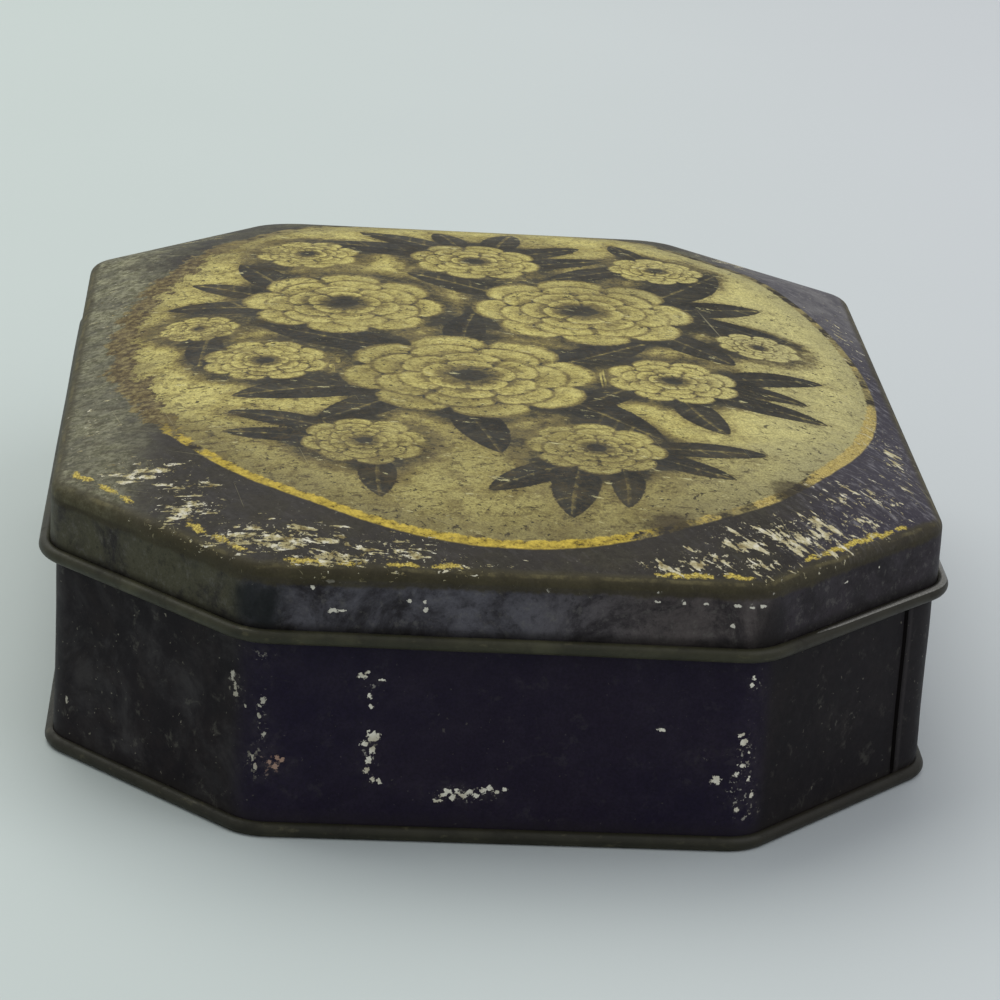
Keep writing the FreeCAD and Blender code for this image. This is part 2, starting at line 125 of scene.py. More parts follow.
# ---------------------------------------------------------------------------
# Mesh from rings of points
# ---------------------------------------------------------------------------
def ring_mesh(name, rings, tags, materials, loop=False, first_pole=None, last_pole=None, fields=None,
              sharp=50.0):
    """Skin over rings of points (R, N, 3) in mm. tags gives each ring's material index."""
    rings = np.asarray(rings, float)
    count, n = rings.shape[:2]
    verts = rings.reshape(-1, 3)
    strips = count if loop else count - 1
    j = np.repeat(np.arange(strips), n)
    i = np.tile(np.arange(n), strips)
    k, i1 = (j + 1) % count, (i + 1) % n
    quads = np.stack([j * n + i, k * n + i, k * n + i1, j * n + i1], 1)
    quad_mat = np.asarray(tags)[j]
    tris, tri_mat, extra = [], [], []
    around = np.arange(n)
    if first_pole is not None:
        p = len(verts) + len(extra)
        extra.append(first_pole)
        tris.append(np.stack([np.full(n, p), around, (around + 1) % n], 1))
        tri_mat.append(np.full(n, tags[0]))
    if last_pole is not None:
        p = len(verts) + len(extra)
        extra.append(last_pole)
        base = (count - 1) * n
        tris.append(np.stack([np.full(n, p), base + (around + 1) % n, base + around], 1))
        tri_mat.append(np.full(n, tags[-1]))
    if extra:
        verts = np.concatenate([verts, np.array(extra, float)])
    me = bpy.data.meshes.new(name)
    loops = [quads.ravel()] + [t.ravel() for t in tris]
    sizes = [np.full(len(quads), 4)] + [np.full(len(t), 3) for t in tris]
    loops, sizes = np.concatenate(loops), np.concatenate(sizes)
    me.vertices.add(len(verts))
    me.vertices.foreach_set("co", (verts * MM).astype(np.float32).ravel())
    me.loops.add(len(loops))
    me.loops.foreach_set("vertex_index", loops.astype(np.int32))
    me.polygons.add(len(sizes))
    me.polygons.foreach_set("loop_start", np.concatenate([[0], np.cumsum(sizes)[:-1]]).astype(np.int32))
    me.polygons.foreach_set("material_index",
                            np.concatenate([quad_mat] + tri_mat).astype(np.int32))
    me.update(calc_edges=True)
    me.validate()
    for m in materials:
        me.materials.append(m)
    for key, values in (fields or {}).items():
        at = me.attributes.new(key, "FLOAT", "POINT")
        values = np.concatenate([values.ravel(), np.zeros(len(extra))]) if extra else values.ravel()
        if extra and first_pole is not None:
            values[count * n] = values[:n].mean()
        if len(extra) == 2 or (extra and first_pole is None):
            values[-1] = values[(count - 1) * n:count * n].mean()
        at.data.foreach_set("value", values.astype(np.float32))
    me.polygons.foreach_set("use_smooth", np.ones(len(sizes), bool))
    me.set_sharp_from_angle(angle=math.radians(sharp))
    ob = bpy.data.objects.new(name, me)
    bpy.context.scene.collection.objects.link(ob)
    return ob


# ---------------------------------------------------------------------------
# Node graphs
# ---------------------------------------------------------------------------
def tone(r, g, b):
    """Linear colour from 8-bit display values."""
    def lin(c):
        c /= 255.0
        return c / 12.92 if c <= 0.04045 else ((c + 0.055) / 1.055) ** 2.4
    return (lin(r), lin(g), lin(b), 1.0)


class Val:
    """A float socket with arithmetic."""

    def __init__(self, graph, socket):
        self.g, self.s = graph, socket

    def __add__(self, o): return self.g.math("ADD", self, o)
    def __radd__(self, o): return self.g.math("ADD", o, self)
    def __sub__(self, o): return self.g.math("SUBTRACT", self, o)
    def __rsub__(self, o): return self.g.math("SUBTRACT", o, self)
    def __mul__(self, o): return self.g.math("MULTIPLY", self, o)
    def __rmul__(self, o): return self.g.math("MULTIPLY", o, self)
    def __truediv__(self, o): return self.g.math("DIVIDE", self, o)


class Graph:
    def __init__(self, name):
        self.mat = bpy.data.materials.new(name)
        self.mat.use_nodes = True
        self.t = self.mat.node_tree
        self.bsdf = next(n for n in self.t.nodes if n.type == "BSDF_PRINCIPLED")
        co = self.new("ShaderNodeTexCoord")
        mm = self.new("ShaderNodeVectorMath")
        mm.operation = "SCALE"
        mm.inputs["Scale"].default_value = 1000.0
        self.t.links.new(co.outputs["Object"], mm.inputs[0])
        self.p = mm.outputs[0]
        xyz = self.new("ShaderNodeSeparateXYZ")
        self.t.links.new(self.p, xyz.inputs[0])
        self.x, self.y, self.z = (Val(self, o) for o in xyz.outputs)

    def new(self, kind):
        return self.t.nodes.new(kind)

    def put(self, socket, v):
        if isinstance(v, Val):
            v = v.s
        if isinstance(v, bpy.types.NodeSocket):
            self.t.links.new(v, socket)
        else:
            socket.default_value = v

    def math(self, op, *args, clamp=False):
        n = self.new("ShaderNodeMath")
        n.operation, n.use_clamp = op, clamp
        for s, v in zip(n.inputs, args):
            self.put(s, v)
        return Val(self, n.outputs[0])

    def least(self, a, b): return self.math("MINIMUM", a, b)
    def most(self, a, b): return self.math("MAXIMUM", a, b)
    def mag(self, a): return self.math("ABSOLUTE", a)
    def root(self, a): return self.math("SQRT", a)
    def hold(self, a): return self.math("ADD", a, 0.0, clamp=True)

    def step(self, lo, hi, v):
        """0 below lo, 1 above hi, smooth between; lo may exceed hi."""
        n = self.new("ShaderNodeMapRange")
        n.interpolation_type = "SMOOTHSTEP"
        flip = lo > hi
        n.inputs["From Min"].default_value = min(lo, hi)
        n.inputs["From Max"].default_value = max(lo, hi)
        n.inputs["To Min"].default_value = 1.0 if flip else 0.0
        n.inputs["To Max"].default_value = 0.0 if flip else 1.0
        self.put(n.inputs["Value"], v)
        return Val(self, n.outputs["Result"])

    def field(self, name):
        n = self.new("ShaderNodeAttribute")
        n.attribute_type, n.attribute_name = "GEOMETRY", name
        return Val(self, n.outputs["Fac"])

    def scaled(self, sx, sy, sz, turn=0.0, base=None):
        """Coordinates stretched by these factors, after a turn about Z in degrees."""
        n = self.new("ShaderNodeMapping")
        n.vector_type = "POINT"
        src = base if base is not None else self.p
        if turn:
            r = self.new("ShaderNodeVectorRotate")
            r.rotation_type = "Z_AXIS"
            r.inputs["Angle"].default_value = math.radians(turn)
            self.t.links.new(src, r.inputs["Vector"])
            src = r.outputs[0]
        n.inputs["Scale"].default_value = (sx, sy, sz)
        self.t.links.new(src, n.inputs["Vector"])
        return n.outputs[0]

    def noise(self, scale, detail=3.0, rough=0.55, warp=0.0, at=None, colour=False):
        n = self.new("ShaderNodeTexNoise")
        n.inputs["Scale"].default_value = scale
        n.inputs["Detail"].default_value = detail
        n.inputs["Roughness"].default_value = rough
        n.inputs["Distortion"].default_value = warp
        self.t.links.new(at if at is not None else self.p, n.inputs["Vector"])
        return n.outputs["Color"] if colour else Val(self, n.outputs["Fac"])

    def cells(self, scale, at=None):
        """(distance to the cell's point, a random number per cell)."""
        n = self.new("ShaderNodeTexVoronoi")
        n.inputs["Scale"].default_value = scale
        self.t.links.new(at if at is not None else self.p, n.inputs["Vector"])
        pick = self.new("ShaderNodeSeparateColor")
        self.t.links.new(n.outputs["Color"], pick.inputs[0])
        return Val(self, n.outputs["Distance"]), Val(self, pick.outputs[0]), Val(self, pick.outputs[1])

    def specks(self, scale, share, size, at=None):
        """Scattered dots: about that share of the cells holds one, of up to size of a cell."""
        d, a, b = self.cells(scale, at)
        r = size * (0.35 + 0.65 * b)
        return self.step(0.0, 0.05, r - d) * self.step(1.0 - share - 0.01, 1.0 - share, a)

    def shifted(self, amount, scale, detail=2.0):
        """Coordinates shaken by a noise, so that what is drawn there gets ragged edges."""
        c = self.noise(scale, detail, 0.6, colour=True)
        a = self.new("ShaderNodeVectorMath")
        a.operation = "SUBTRACT"
        a.inputs[1].default_value = (0.5, 0.5, 0.5)
        self.t.links.new(c, a.inputs[0])
        b = self.new("ShaderNodeVectorMath")
        b.operation = "MULTIPLY_ADD"
        b.inputs[1].default_value = (amount, amount, amount)
        self.t.links.new(a.outputs[0], b.inputs[0])
        self.t.links.new(self.p, b.inputs[2])
        return b.outputs[0]

    def blots(self, spots, at):
        """Least of the distances to spots (x, y, z, across, high), in units of each one's size."""
        best = None
        for x, y, z, across, high in spots:
            s = self.new("ShaderNodeVectorMath")
            s.operation = "SUBTRACT"
            s.inputs[1].default_value = (x, y, z)
            self.t.links.new(at, s.inputs[0])
            m = self.new("ShaderNodeVectorMath")
            m.operation = "MULTIPLY"
            m.inputs[1].default_value = (1 / across, 1 / across, 1 / high)
            self.t.links.new(s.outputs[0], m.inputs[0])
            ln = self.new("ShaderNodeVectorMath")
            ln.operation = "LENGTH"
            self.t.links.new(m.outputs[0], ln.inputs[0])
            d = Val(self, ln.outputs["Value"])
            best = d if best is None else self.least(best, d)
        return best

    def blend(self, fac, a, b, mode="MIX"):
        n = self.new("ShaderNodeMix")
        n.data_type, n.blend_type = "RGBA", mode
        n.clamp_factor = True
        self.put(n.inputs[0], fac)
        self.put(n.inputs[6], a)
        self.put(n.inputs[7], b)
        return n.outputs[2]

    def between(self, fac, a, b):
        n = self.new("ShaderNodeMix")
        n.data_type = "FLOAT"
        n.clamp_factor = True
        self.put(n.inputs[0], fac)
        self.put(n.inputs[2], a)
        self.put(n.inputs[3], b)
        return Val(self, n.outputs[0])

    def ramp(self, fac, stops):
        n = self.new("ShaderNodeValToRGB")
        el = n.color_ramp.elements
        while len(el) > 1:
            el.remove(el[-1])
        el[0].position, el[0].color = stops[0]
        for pos, col in stops[1:]:
            e = el.new(pos)
            e.color = col
        self.put(n.inputs[0], fac)
        return n.outputs[0]

    def finish(self, colour, rough, height=None, metal=None):
        """height is in mm."""
        self.put(self.bsdf.inputs["Base Color"], colour)
        self.put(self.bsdf.inputs["Roughness"], rough)
        if metal is not None:
            self.put(self.bsdf.inputs["Metallic"], metal)
        if height is not None:
            b = self.new("ShaderNodeBump")
            b.inputs["Strength"].default_value = 1.0
            b.inputs["Distance"].default_value = MM
            self.put(b.inputs["Height"], height)
            self.t.links.new(b.outputs[0], self.bsdf.inputs["Normal"])
        return self.mat


CREAM = tone(226, 222, 206)
ROUND = Outline(0.2)


def on_wall(spots):
    """Spots (x, y, z, across, high) moved to the nearest place on the outside of the body."""
    plan = ROUND.at(0.0)
    moved = []
    for x, y, z, across, high in spots:
        k = int(np.argmin(np.hypot(plan[:, 0] - x, plan[:, 1] - y)))
        moved.append((float(plan[k, 0]), float(plan[k, 1]), z, across, high))
    return moved


def enamel_material():
    """Near-black blue enamel of the body, nearly matt, dusty, chipped to a pale ground."""
    g = Graph("body_enamel")
    seam_at, zone = g.field("seam"), g.field("zone")
    cloud = g.noise(0.05, 4, 0.6)
    fine = g.noise(0.9, 4, 0.65)
    front = g.step(-69.5, -71.8, g.y)
    base = g.blend(front, g.ramp(cloud, [(0.35, tone(19, 14, 19)), (0.7, tone(26, 20, 25))]),
                   g.ramp(cloud, [(0.35, tone(27, 21, 41)), (0.7, tone(32, 25, 41))]))
    cast = g.step(0.42, 0.66, g.noise(0.22, 6, 0.72, 0.3))
    base = g.blend(cast * 0.35, base, g.blend(front, tone(46, 39, 38), tone(44, 38, 52)))
    grain = g.step(0.40, 0.62, g.noise(2.6, 3, 0.7))
    base = g.blend(grain * 0.28, base, tone(11, 9, 11))
    # dust and rubbing: most on the left cut corner and on the sides and back; before that the right cut corner is
    # darkened as painted shade
    left = g.step(-29.0, -34.0, g.x)
    right = g.step(31.0, 35.0, g.x)
    rest = g.step(-50.0, -30.0, g.y)
    # painted shade: the right cut corner darkened towards black
    base = g.blend(right * (1.0 - rest) * 0.45, base, tone(9, 6, 8))
    film = g.noise(0.12, 6, 0.68, 0.4)
    dust = g.step(0.44, 0.72, film) * g.hold(0.05 + 0.34 * left + 0.26 * rest)
    base = g.blend(dust, base, g.blend(left, tone(74, 68, 72), tone(84, 82, 82)))
    smudge = g.step(0.57, 0.70, g.noise(0.42, 5, 0.7, 0.3)) * g.hold(0.06 + 0.22 * left + 0.2 * rest + 0.12 * right)
    base = g.blend(smudge, base, tone(112, 110, 100))
    grit = g.step(0.685, 0.72, g.noise(1.5, 3, 0.6)) * g.hold(0.14 + 0.45 * left + 0.4 * rest + 0.15 * right)
    base = g.blend(grit, base, tone(150, 146, 130))
    # chips along the bends and across the front
    chips = on_wall([
        (-32.2, -69.8, 19.6, .40, .9), (-31.9, -70.1, 18.4, .35, .6), (-31.7, -70.3, 17.3, .5, .55),
        (-30.6, -71.2, 16.3, .25, .25), (-28.5, -72.0, 17.3, .5, .6), (-28.9, -71.9, 16.6, .35, .3),
        (-28.8, -71.9, 15.4, .3, .35), (-28.4, -72.0, 13.0, .35, .4), (-29.4, -71.8, 9.9, .35, .45),
        (-29.0, -71.9, 8.8, .3, .55), (-27.6, -72.0, 9.5, .45, .4), (-26.7, -72.0, 9.0, .5, .5),
        (-25.9, -72.0, 9.9, .35, .35), (-26.6, -72.0, 10.1, .4, .4),
        (-16.9, -72.0, 20.9, .65, .4), (-16.3, -72.0, 21.4, .4, .35), (-14.5, -72.0, 20.4, .5, .28),
        (-15.9, -72.0, 18.4, .35, .5), (-15.8, -72.0, 17.1, .3, .4), (-15.3, -72.0, 13.2, .9, .85),
        (-16.4, -72.0, 12.3, .55, .5), (-15.4, -72.0, 11.5, .5, .6), (-15.7, -72.0, 10.2, .5, .6),
        (-15.9, -72.0, 8.9, .4, .5), (-15.1, -72.0, 7.7, .45, .5), (-14.4, -72.0, 7.5, .4, .45),
        (-7.4, -72.0, 5.2, .7, .3), (-6.8, -72.0, 5.9, .5, .4), (-6.2, -72.0, 6.5, .6, .5), (-5.6, -72.0, 5.7, .5, .5),
        (-5.0, -72.0, 6.4, .5, .45), (-4.2, -72.0, 5.9, .55, .45), (-3.5, -72.0, 6.5, .5, .4), (-2.8, -72.0, 6.0, .5, .4),
        (-2.0, -72.0, 6.8, .55, .45), (-1.2, -72.0, 7.1, .5, .4), (-0.3, -72.0, 6.6, .5, .35), (0.8, -72.0, 6.9, .4, .3),
        (19.0, -72.0, 15.3, .5, .35), (29.6, -71.9, 22.2, .4, .35), (29.4, -71.9, 21.4, .35, .4),
        (28.6, -72.0, 15.0, .5, .35), (28.9, -72.0, 14.0, .6, .4), (29.8, -71.8, 12.7, .3, .3),
        (29.0, -72.0, 11.0, .65, .3), (28.3, -72.0, 9.8, .4, .5), (26.0, -72.0, 9.1, .75, .65),
        (30.4, -71.5, 7.0, .35, .6), (28.7, -72.0, 5.3, .4, .4), (30.0, -71.8, 9.2, .35, .5),
        (-52.8, -49.2, 7.0, .4, .5)])
    bite = (g.noise(2.4, 3, 0.65) - 0.5) * 2.4
    hit = g.blots(chips, g.shifted(0.7, 1.5, 3.0)) + bite
    chip = g.step(0.84, 0.66, hit)
    crumbs = g.step(0.615, 0.65, g.noise(1.5, 4, 0.65) + 0.05 * zone) * g.step(0.30, 0.7, zone)
    stray = g.step(0.735, 0.76, g.noise(0.55, 4, 0.62)) * rest
    chip = g.hold(chip + 0.38 * crumbs + 0.8 * stray)
    blush = g.step(0.45, 0.7, g.noise(0.35, 3, 0.6))
    pale = g.blend(blush, CREAM, tone(190, 182, 160))
    rusty = g.step(3.2, 1.6, g.blots(on_wall([(-26.8, -72.0, 9.4, 0.9, 0.8)]), g.p))
    pale = g.blend(g.step(-24.5, -27.5, g.x) * 0.6, pale, tone(136, 131, 120))
    pale = g.blend(rusty * 0.8, pale, tone(150, 112, 96))
    haze = g.step(0.40, 0.68, g.noise(0.6, 4, 0.65)) * zone * 0.14
    base = g.blend(haze, base, tone(120, 114, 108))
    base = g.blend(chip, base, pale)
    # scuffed foot, a painted highlight beside the seam and the dark line of the seam
    foot = g.step(4.0, 1.6, g.z + 2.2 * (fine - 0.5)) * 0.35
    base = g.blend(foot, base, tone(40, 37, 32))
    # painted highlight: a lighter band on the lapped edge just past the seam
    painted_seam_highlight = g.step(0.45, 0.1, g.mag(seam_at - 0.85))
    base = g.blend(painted_seam_highlight * 0.25, base, tone(66, 60, 60))
    seam = g.step(0.50, 0.22, g.mag(seam_at))
    base = g.blend(seam, base, tone(12, 7, 7))
    rough = g.hold(0.44 + 0.22 * fine + 0.2 * dust + 0.25 * chip)
    height = 0.010 * g.noise(2.2, 3, 0.6) + 0.035 * cloud - 0.022 * chip + 0.008 * grit
    g.bsdf.inputs["Specular IOR Level"].default_value = 0.12
    return g.finish(base, rough, height)


def tarnish_material():
    """Tarnished khaki lacquer over tinplate, on the beads and the underside."""
    g = Graph("tin_tarnish")
    cloud = g.noise(0.16, 5, 0.62)
    fine = g.noise(1.6, 4, 0.65)
    base = g.ramp(g.hold(cloud * 1.5 - 0.25), [(0.15, tone(34, 34, 22)), (0.5, tone(50, 49, 33)),
                                               (0.85, tone(67, 66, 47))])
    low = g.step(6.0, 1.0, g.z) * g.step(0.25, 0.6, g.z)
    base = g.blend(low * 0.6, base, tone(34, 32, 24))
    rub = g.step(0.58, 0.76, g.noise(0.5, 4, 0.65, 0.0, g.scaled(1.0, 1.0, 2.2)))
    base = g.blend(rub * 0.35, base, tone(112, 107, 82))
    soil = g.step(0.50, 0.74, g.noise(0.27, 5, 0.7))
    base = g.blend(soil * 0.6, base, tone(30, 28, 22))
    rust = g.step(0.66, 0.72, g.noise(0.8, 4, 0.65))
    base = g.blend(rust * 0.5, base, tone(64, 40, 24))
    shaded = g.step(30.0, 36.0, g.x) * g.step(-40.0, -50.0, g.y)
    base = g.blend(shaded * 0.7, base, tone(30, 26, 18))
    # underside of the bottom: barer sheet, scuffed where it slides, soiled along the bead
    ax, ay = g.mag(g.x), g.mag(g.y)
    rim = g.most(g.most(ax - 54.5, ay - 72.0), (ax + ay - 102.0) * 0.7)
    under = g.step(-1.6, -3.2, rim + (cloud - 0.5) * 2.0) * g.step(2.0, 1.4, g.z)
    patch = g.noise(0.035, 6, 0.68, 0.4)
    sheet = g.ramp(patch, [(0.34, tone(66, 61, 44)), (0.52, tone(96, 91, 70)), (0.68, tone(124, 119, 98))])
    edge = g.step(-14.0, -3.0, rim + (g.noise(0.1, 5, 0.7) - 0.5) * 14.0)
    sheet = g.blend(edge * 0.7, sheet, tone(54, 46, 31))
    drawn = g.noise(1.0, 4, 0.62, 0.0, g.scaled(0.03, 1.6, 0.5, 12.0))
    crossed = g.noise(1.0, 4, 0.62, 0.0, g.scaled(1.4, 0.035, 0.5, 25.0))
    scuff = g.hold(g.step(0.60, 0.68, drawn) + g.step(0.62, 0.70, crossed))
    sheet = g.blend(scuff * 0.2, sheet, tone(150, 146, 126))
    freckle = g.step(0.63, 0.68, g.noise(0.35, 6, 0.72))
    sheet = g.blend(freckle * 0.8, sheet, tone(84, 50, 28))
    base = g.blend(under, base, sheet)
    rough = g.hold(0.38 + 0.22 * fine + 0.2 * soil - 0.1 * rub)
    height = 0.012 * fine + 0.02 * cloud - 0.01 * rust - 0.01 * freckle * under
    g.bsdf.inputs["Specular IOR Level"].default_value = 0.3
    return g.finish(base, rough, height, 0.06 + 0.2 * rub)


def inside_material():
    """Dull tinplate inside, yellowed, with handling marks and a few rust freckles."""
    g = Graph("tin_inside")
    cloud = g.noise(0.03, 5, 0.6)
    spangle = g.noise(0.22, 3, 0.5, 0.6)
    base = g.ramp(g.hold(cloud * 1.3 - 0.15), [(0.2, tone(120, 114, 96)), (0.55, tone(150, 145, 126)),
                                               (0.9, tone(168, 163, 146))])
    base = g.blend(g.step(0.5, 0.68, spangle) * 0.25, base, tone(186, 183, 172))
    line = g.noise(1.0, 3, 0.6, 0.0, g.scaled(0.05, 2.2, 0.6, 24.0))
    base = g.blend(g.step(0.60, 0.70, line) * 0.28, base, tone(96, 90, 74))
    rust = g.step(0.68, 0.74, g.noise(0.5, 5, 0.68))
    base = g.blend(rust * 0.75, base, tone(96, 58, 34))
    stain = g.step(0.56, 0.74, g.noise(0.06, 6, 0.65, 0.4))
    base = g.blend(stain * 0.45, base, tone(104, 92, 66))
    rough = g.hold(0.34 + 0.2 * cloud + 0.25 * stain + 0.2 * rust)
    height = 0.02 * spangle + 0.01 * line - 0.012 * rust
    return g.finish(base, rough, height, g.hold(0.75 - 0.4 * stain - 0.5 * rust))


def wire_material():
    """Plain drawn wire."""
    g = Graph("rim_wire")
    line = g.noise(1.0, 3, 0.6, 0.0, g.scaled(6.0, 6.0, 6.0))
    base = g.blend(g.step(0.4, 0.7, line), tone(120, 118, 112), tone(160, 157, 150))
    return g.finish(base, g.hold(0.3 + 0.2 * line), 0.01 * line, 0.85 + 0.1 * line)


def posy_ink(g, fine):
    """Ink of the panel's posy, 0 to 1, from the places of its leaves and blossoms."""
    lu, lv, ld = g.field("lu"), g.field("lv"), g.field("ld")
    bx, by, bd = g.field("bx"), g.field("by"), g.field("bd")
    is_leaf = g.step(-0.15, 0.2, ld + (fine - 0.5) * 0.35)
    half = g.step(-0.15, 0.15, lv)
    vein = g.mag(g.math("FRACT", (lu - 0.75 * g.mag(lv)) / 2.7) - 0.5)
    leaf = (0.92 + 0.14 * half - 0.18 * g.step(0.15, 0.05, vein) - 0.30 * g.step(0.42, 0.16, g.mag(lv))
            + 0.12 * g.step(0.6, 0.1, ld))
    rho = g.root(bx * bx + by * by)
    phi = g.math("ARCTAN2", by, bx)
    blossom, is_blossom = None, None
    for k, (n, reach) in enumerate(((8, 1.0), (7, 0.79), (6, 0.58), (5, 0.38))):
        lobe = g.mag(g.math("COSINE", (phi - 1.7 * k) * (0.5 * n)))
        t = rho / (reach * (0.83 + 0.17 * g.math("POWER", lobe, 0.6)))
        inside = g.step(1.02, 0.98, t)
        value = (0.10 + 0.50 * g.step(1.0, 0.45, t) + 0.36 * g.step(0.92, 0.985, t)
                 + 0.28 * g.step(0.30, 0.08, lobe) * g.step(0.45, 0.7, t))
        is_blossom = inside if blossom is None else is_blossom
        blossom = value if blossom is None else g.between(inside, blossom, value)
    blossom = g.between(g.step(0.16, 0.11, rho), blossom, 0.85)
    ground = 0.08 + 0.52 * g.step(-5.0, 0.0, bd) + 0.22 * g.step(-3.0, 0.0, ld)
    ink = g.between(is_leaf, ground, leaf)
    return g.between(is_blossom * g.step(-0.8, -0.2, bd), ink, blossom)


def print_material():
    """The lid's print: dark border, gold lines, a sepia panel of flowers, all well worn."""
    g = Graph("lid_print")
    x, y, z = g.x, g.y, g.z
    inset, wear, gilt, gilt_at = g.field("inset"), g.field("wear"), g.field("gilt"), g.field("gilt_at")
    mid = g.noise(0.35, 4, 0.6)
    fine = g.noise(1.8, 4, 0.65)
    mottle = g.noise(1.05, 6, 0.74)
    cloud = g.noise(0.045, 5, 0.6, 0.2)
    blot = g.noise(0.24, 6, 0.72, 0.3)

    # distance inside the oval ring's outer edge
    ex, ey = (x - 0.8) / 51.2, (y - 0.6) / 68.2
    oval = (1.0 - g.root(ex * ex + ey * ey)) * 60.0 + (mid - 0.5) * 0.5
    ragged = g.step(-25.0, -41.0, x + (mid - 0.5) * 8.0) * g.step(-42.0, -28.0, y + (mid - 0.5) * 8.0)
    in_ring = g.step(-0.15, 0.2, oval + ragged * ((blot - 0.5) * 12.0 + (mottle - 0.5) * 3.0))
    wide = g.step(34.0, 42.0, x) * g.step(-6.0, -18.0, y)
    in_field = g.step(1.25, 1.6, oval - 0.6 * wide - ragged * (2.4 + (blot - 0.5) * 14.0) + (mottle - 0.5) * (1.6 + 4.0 * ragged))
    grain = g.noise(3.6, 3, 0.7)

    # panel: printed tones with a coarse grain, faded unevenly
    fade = g.noise(0.10, 5, 0.65)
    ink = posy_ink(g, fine) * g.between(g.step(0.35, 0.65, fade), 0.80, 1.15)
    shade = g.hold(ink + (fine - 0.5) * 0.35 + (mid - 0.5) * 0.40 + (mottle - 0.5) * 0.7)
    panel = g.ramp(shade, [(0.0, tone(214, 203, 124)), (0.22, tone(186, 173, 100)), (0.45, tone(124, 111, 64)),
                           (0.70, tone(50, 49, 41)), (1.0, tone(23, 25, 26))])
    plain = g.step(0.72, 0.40, shade)
    left = g.step(-14.0, -42.0, x + (mid - 0.5) * 20.0)
    front = g.step(-22.0, -54.0, y + (mid - 0.5) * 16.0)
    soil = g.hold(0.30 + 0.55 * left + 0.5 * front + 0.35 * g.step(30.0, 58.0, y))
    panel = g.blend(g.step(0.45, 0.70, cloud) * plain * 0.5, panel, tone(112, 100, 56))
    panel = g.blend(front * plain * 0.5, panel, tone(114, 104, 66))
    panel = g.blend(g.step(0.48, 0.62, blot) * soil * (0.2 + 0.5 * plain), panel, tone(100, 85, 46))
    panel = g.blend(g.step(0.53, 0.64, mottle) * (0.25 + 0.40 * soil), panel, tone(80, 67, 38))
    rim_soil = g.step(8.0, 1.5, oval + (blot - 0.5) * 16.0)
    panel = g.blend(rim_soil * 0.5 * plain, panel, tone(90, 79, 50))
    pale = g.step(16.0, 42.0, x + (cloud - 0.5) * 30.0) * g.step(0.6, 0.2, shade)
    panel = g.blend(pale * 0.35, panel, tone(200, 196, 150))
    fleck = g.noise(1.0, 5, 0.74, 0.3, g.scaled(0.36, 1.0, 0.6, -8.0))
    panel = g.blend(g.step(0.575, 0.62, fleck) * (0.25 + 0.6 * soil), panel, tone(70, 57, 32))
    panel = g.blend(g.step(0.40, 0.60, grain) * 0.26, panel, tone(84, 74, 44))
    pits = g.step(0.62, 0.655, g.noise(1.15, 3, 0.6, 0.2)) * g.step(0.40, 0.55, g.noise(0.09, 3, 0.6) + 0.10 * soil)
    panel = g.blend(pits * 0.85, panel, tone(44, 37, 26))
    rub = g.noise(1.0, 5, 0.7, 0.2, g.scaled(0.35, 0.95, 0.55, 14.0))
    panel = g.blend(g.step(0.63, 0.68, rub) * 0.75, panel, tone(204, 197, 144))
    dark_rub = g.noise(1.0, 5, 0.7, 0.2, g.scaled(0.75, 0.28, 0.5, -22.0))
    panel = g.blend(g.step(0.60, 0.67, dark_rub) * 0.6, panel, tone(66, 58, 38))

    # gold ring, sound at the front, thin at the back and on the left
    ring_left = g.step(-34.0, -44.0, x)
    ring_back = g.step(-22.0, 6.0, y)
    ring_right = g.step(8.0, 22.0, x) * g.step(44.0, 38.0, x)
    ring_pale = g.step(12.0, 30.0, x)
    kept = g.step(0.44, 0.52, g.noise(0.28, 6, 0.72) + 0.11 + 0.10 * wide - 0.15 * ring_right - 0.24 * g.most(ring_left, ring_back))
    gold = g.blend(g.step(0.35, 0.65, mottle), tone(204, 179, 72), tone(140, 120, 42))
    gold = g.blend(ring_pale * 0.75, gold, g.blend(g.step(0.4, 0.6, grain), tone(196, 178, 116), tone(152, 132, 76)))
    gone = g.blend(g.step(0.42, 0.58, blot), tone(44, 38, 29), tone(140, 128, 82))
    ring = g.blend(kept, gone, gold)
    ring = g.blend(g.step(0.58, 0.64, mottle) * 0.8, ring, tone(46, 38, 24))
    spot_a = g.root((x - 20.0) * (x - 20.0) + (y + 61.6) * (y + 61.6))
    spot_b = g.root((x - 36.0) * (x - 36.0) + (y + 48.6) * (y + 48.6))
    stain = g.step(4.2, 2.2, g.least(spot_a, spot_b) + (blot - 0.5) * 7.0 + (mottle - 0.5) * 3.0)
    ring = g.blend(stain * 0.9, ring, tone(40, 34, 28))
    panel = g.blend(stain * 0.8, panel, tone(62, 52, 34))
    ring = g.blend(ragged, ring, g.ramp(mottle, [(0.36, tone(58, 48, 32)), (0.5, tone(96, 82, 52)), (0.62, tone(140, 128, 84))]))

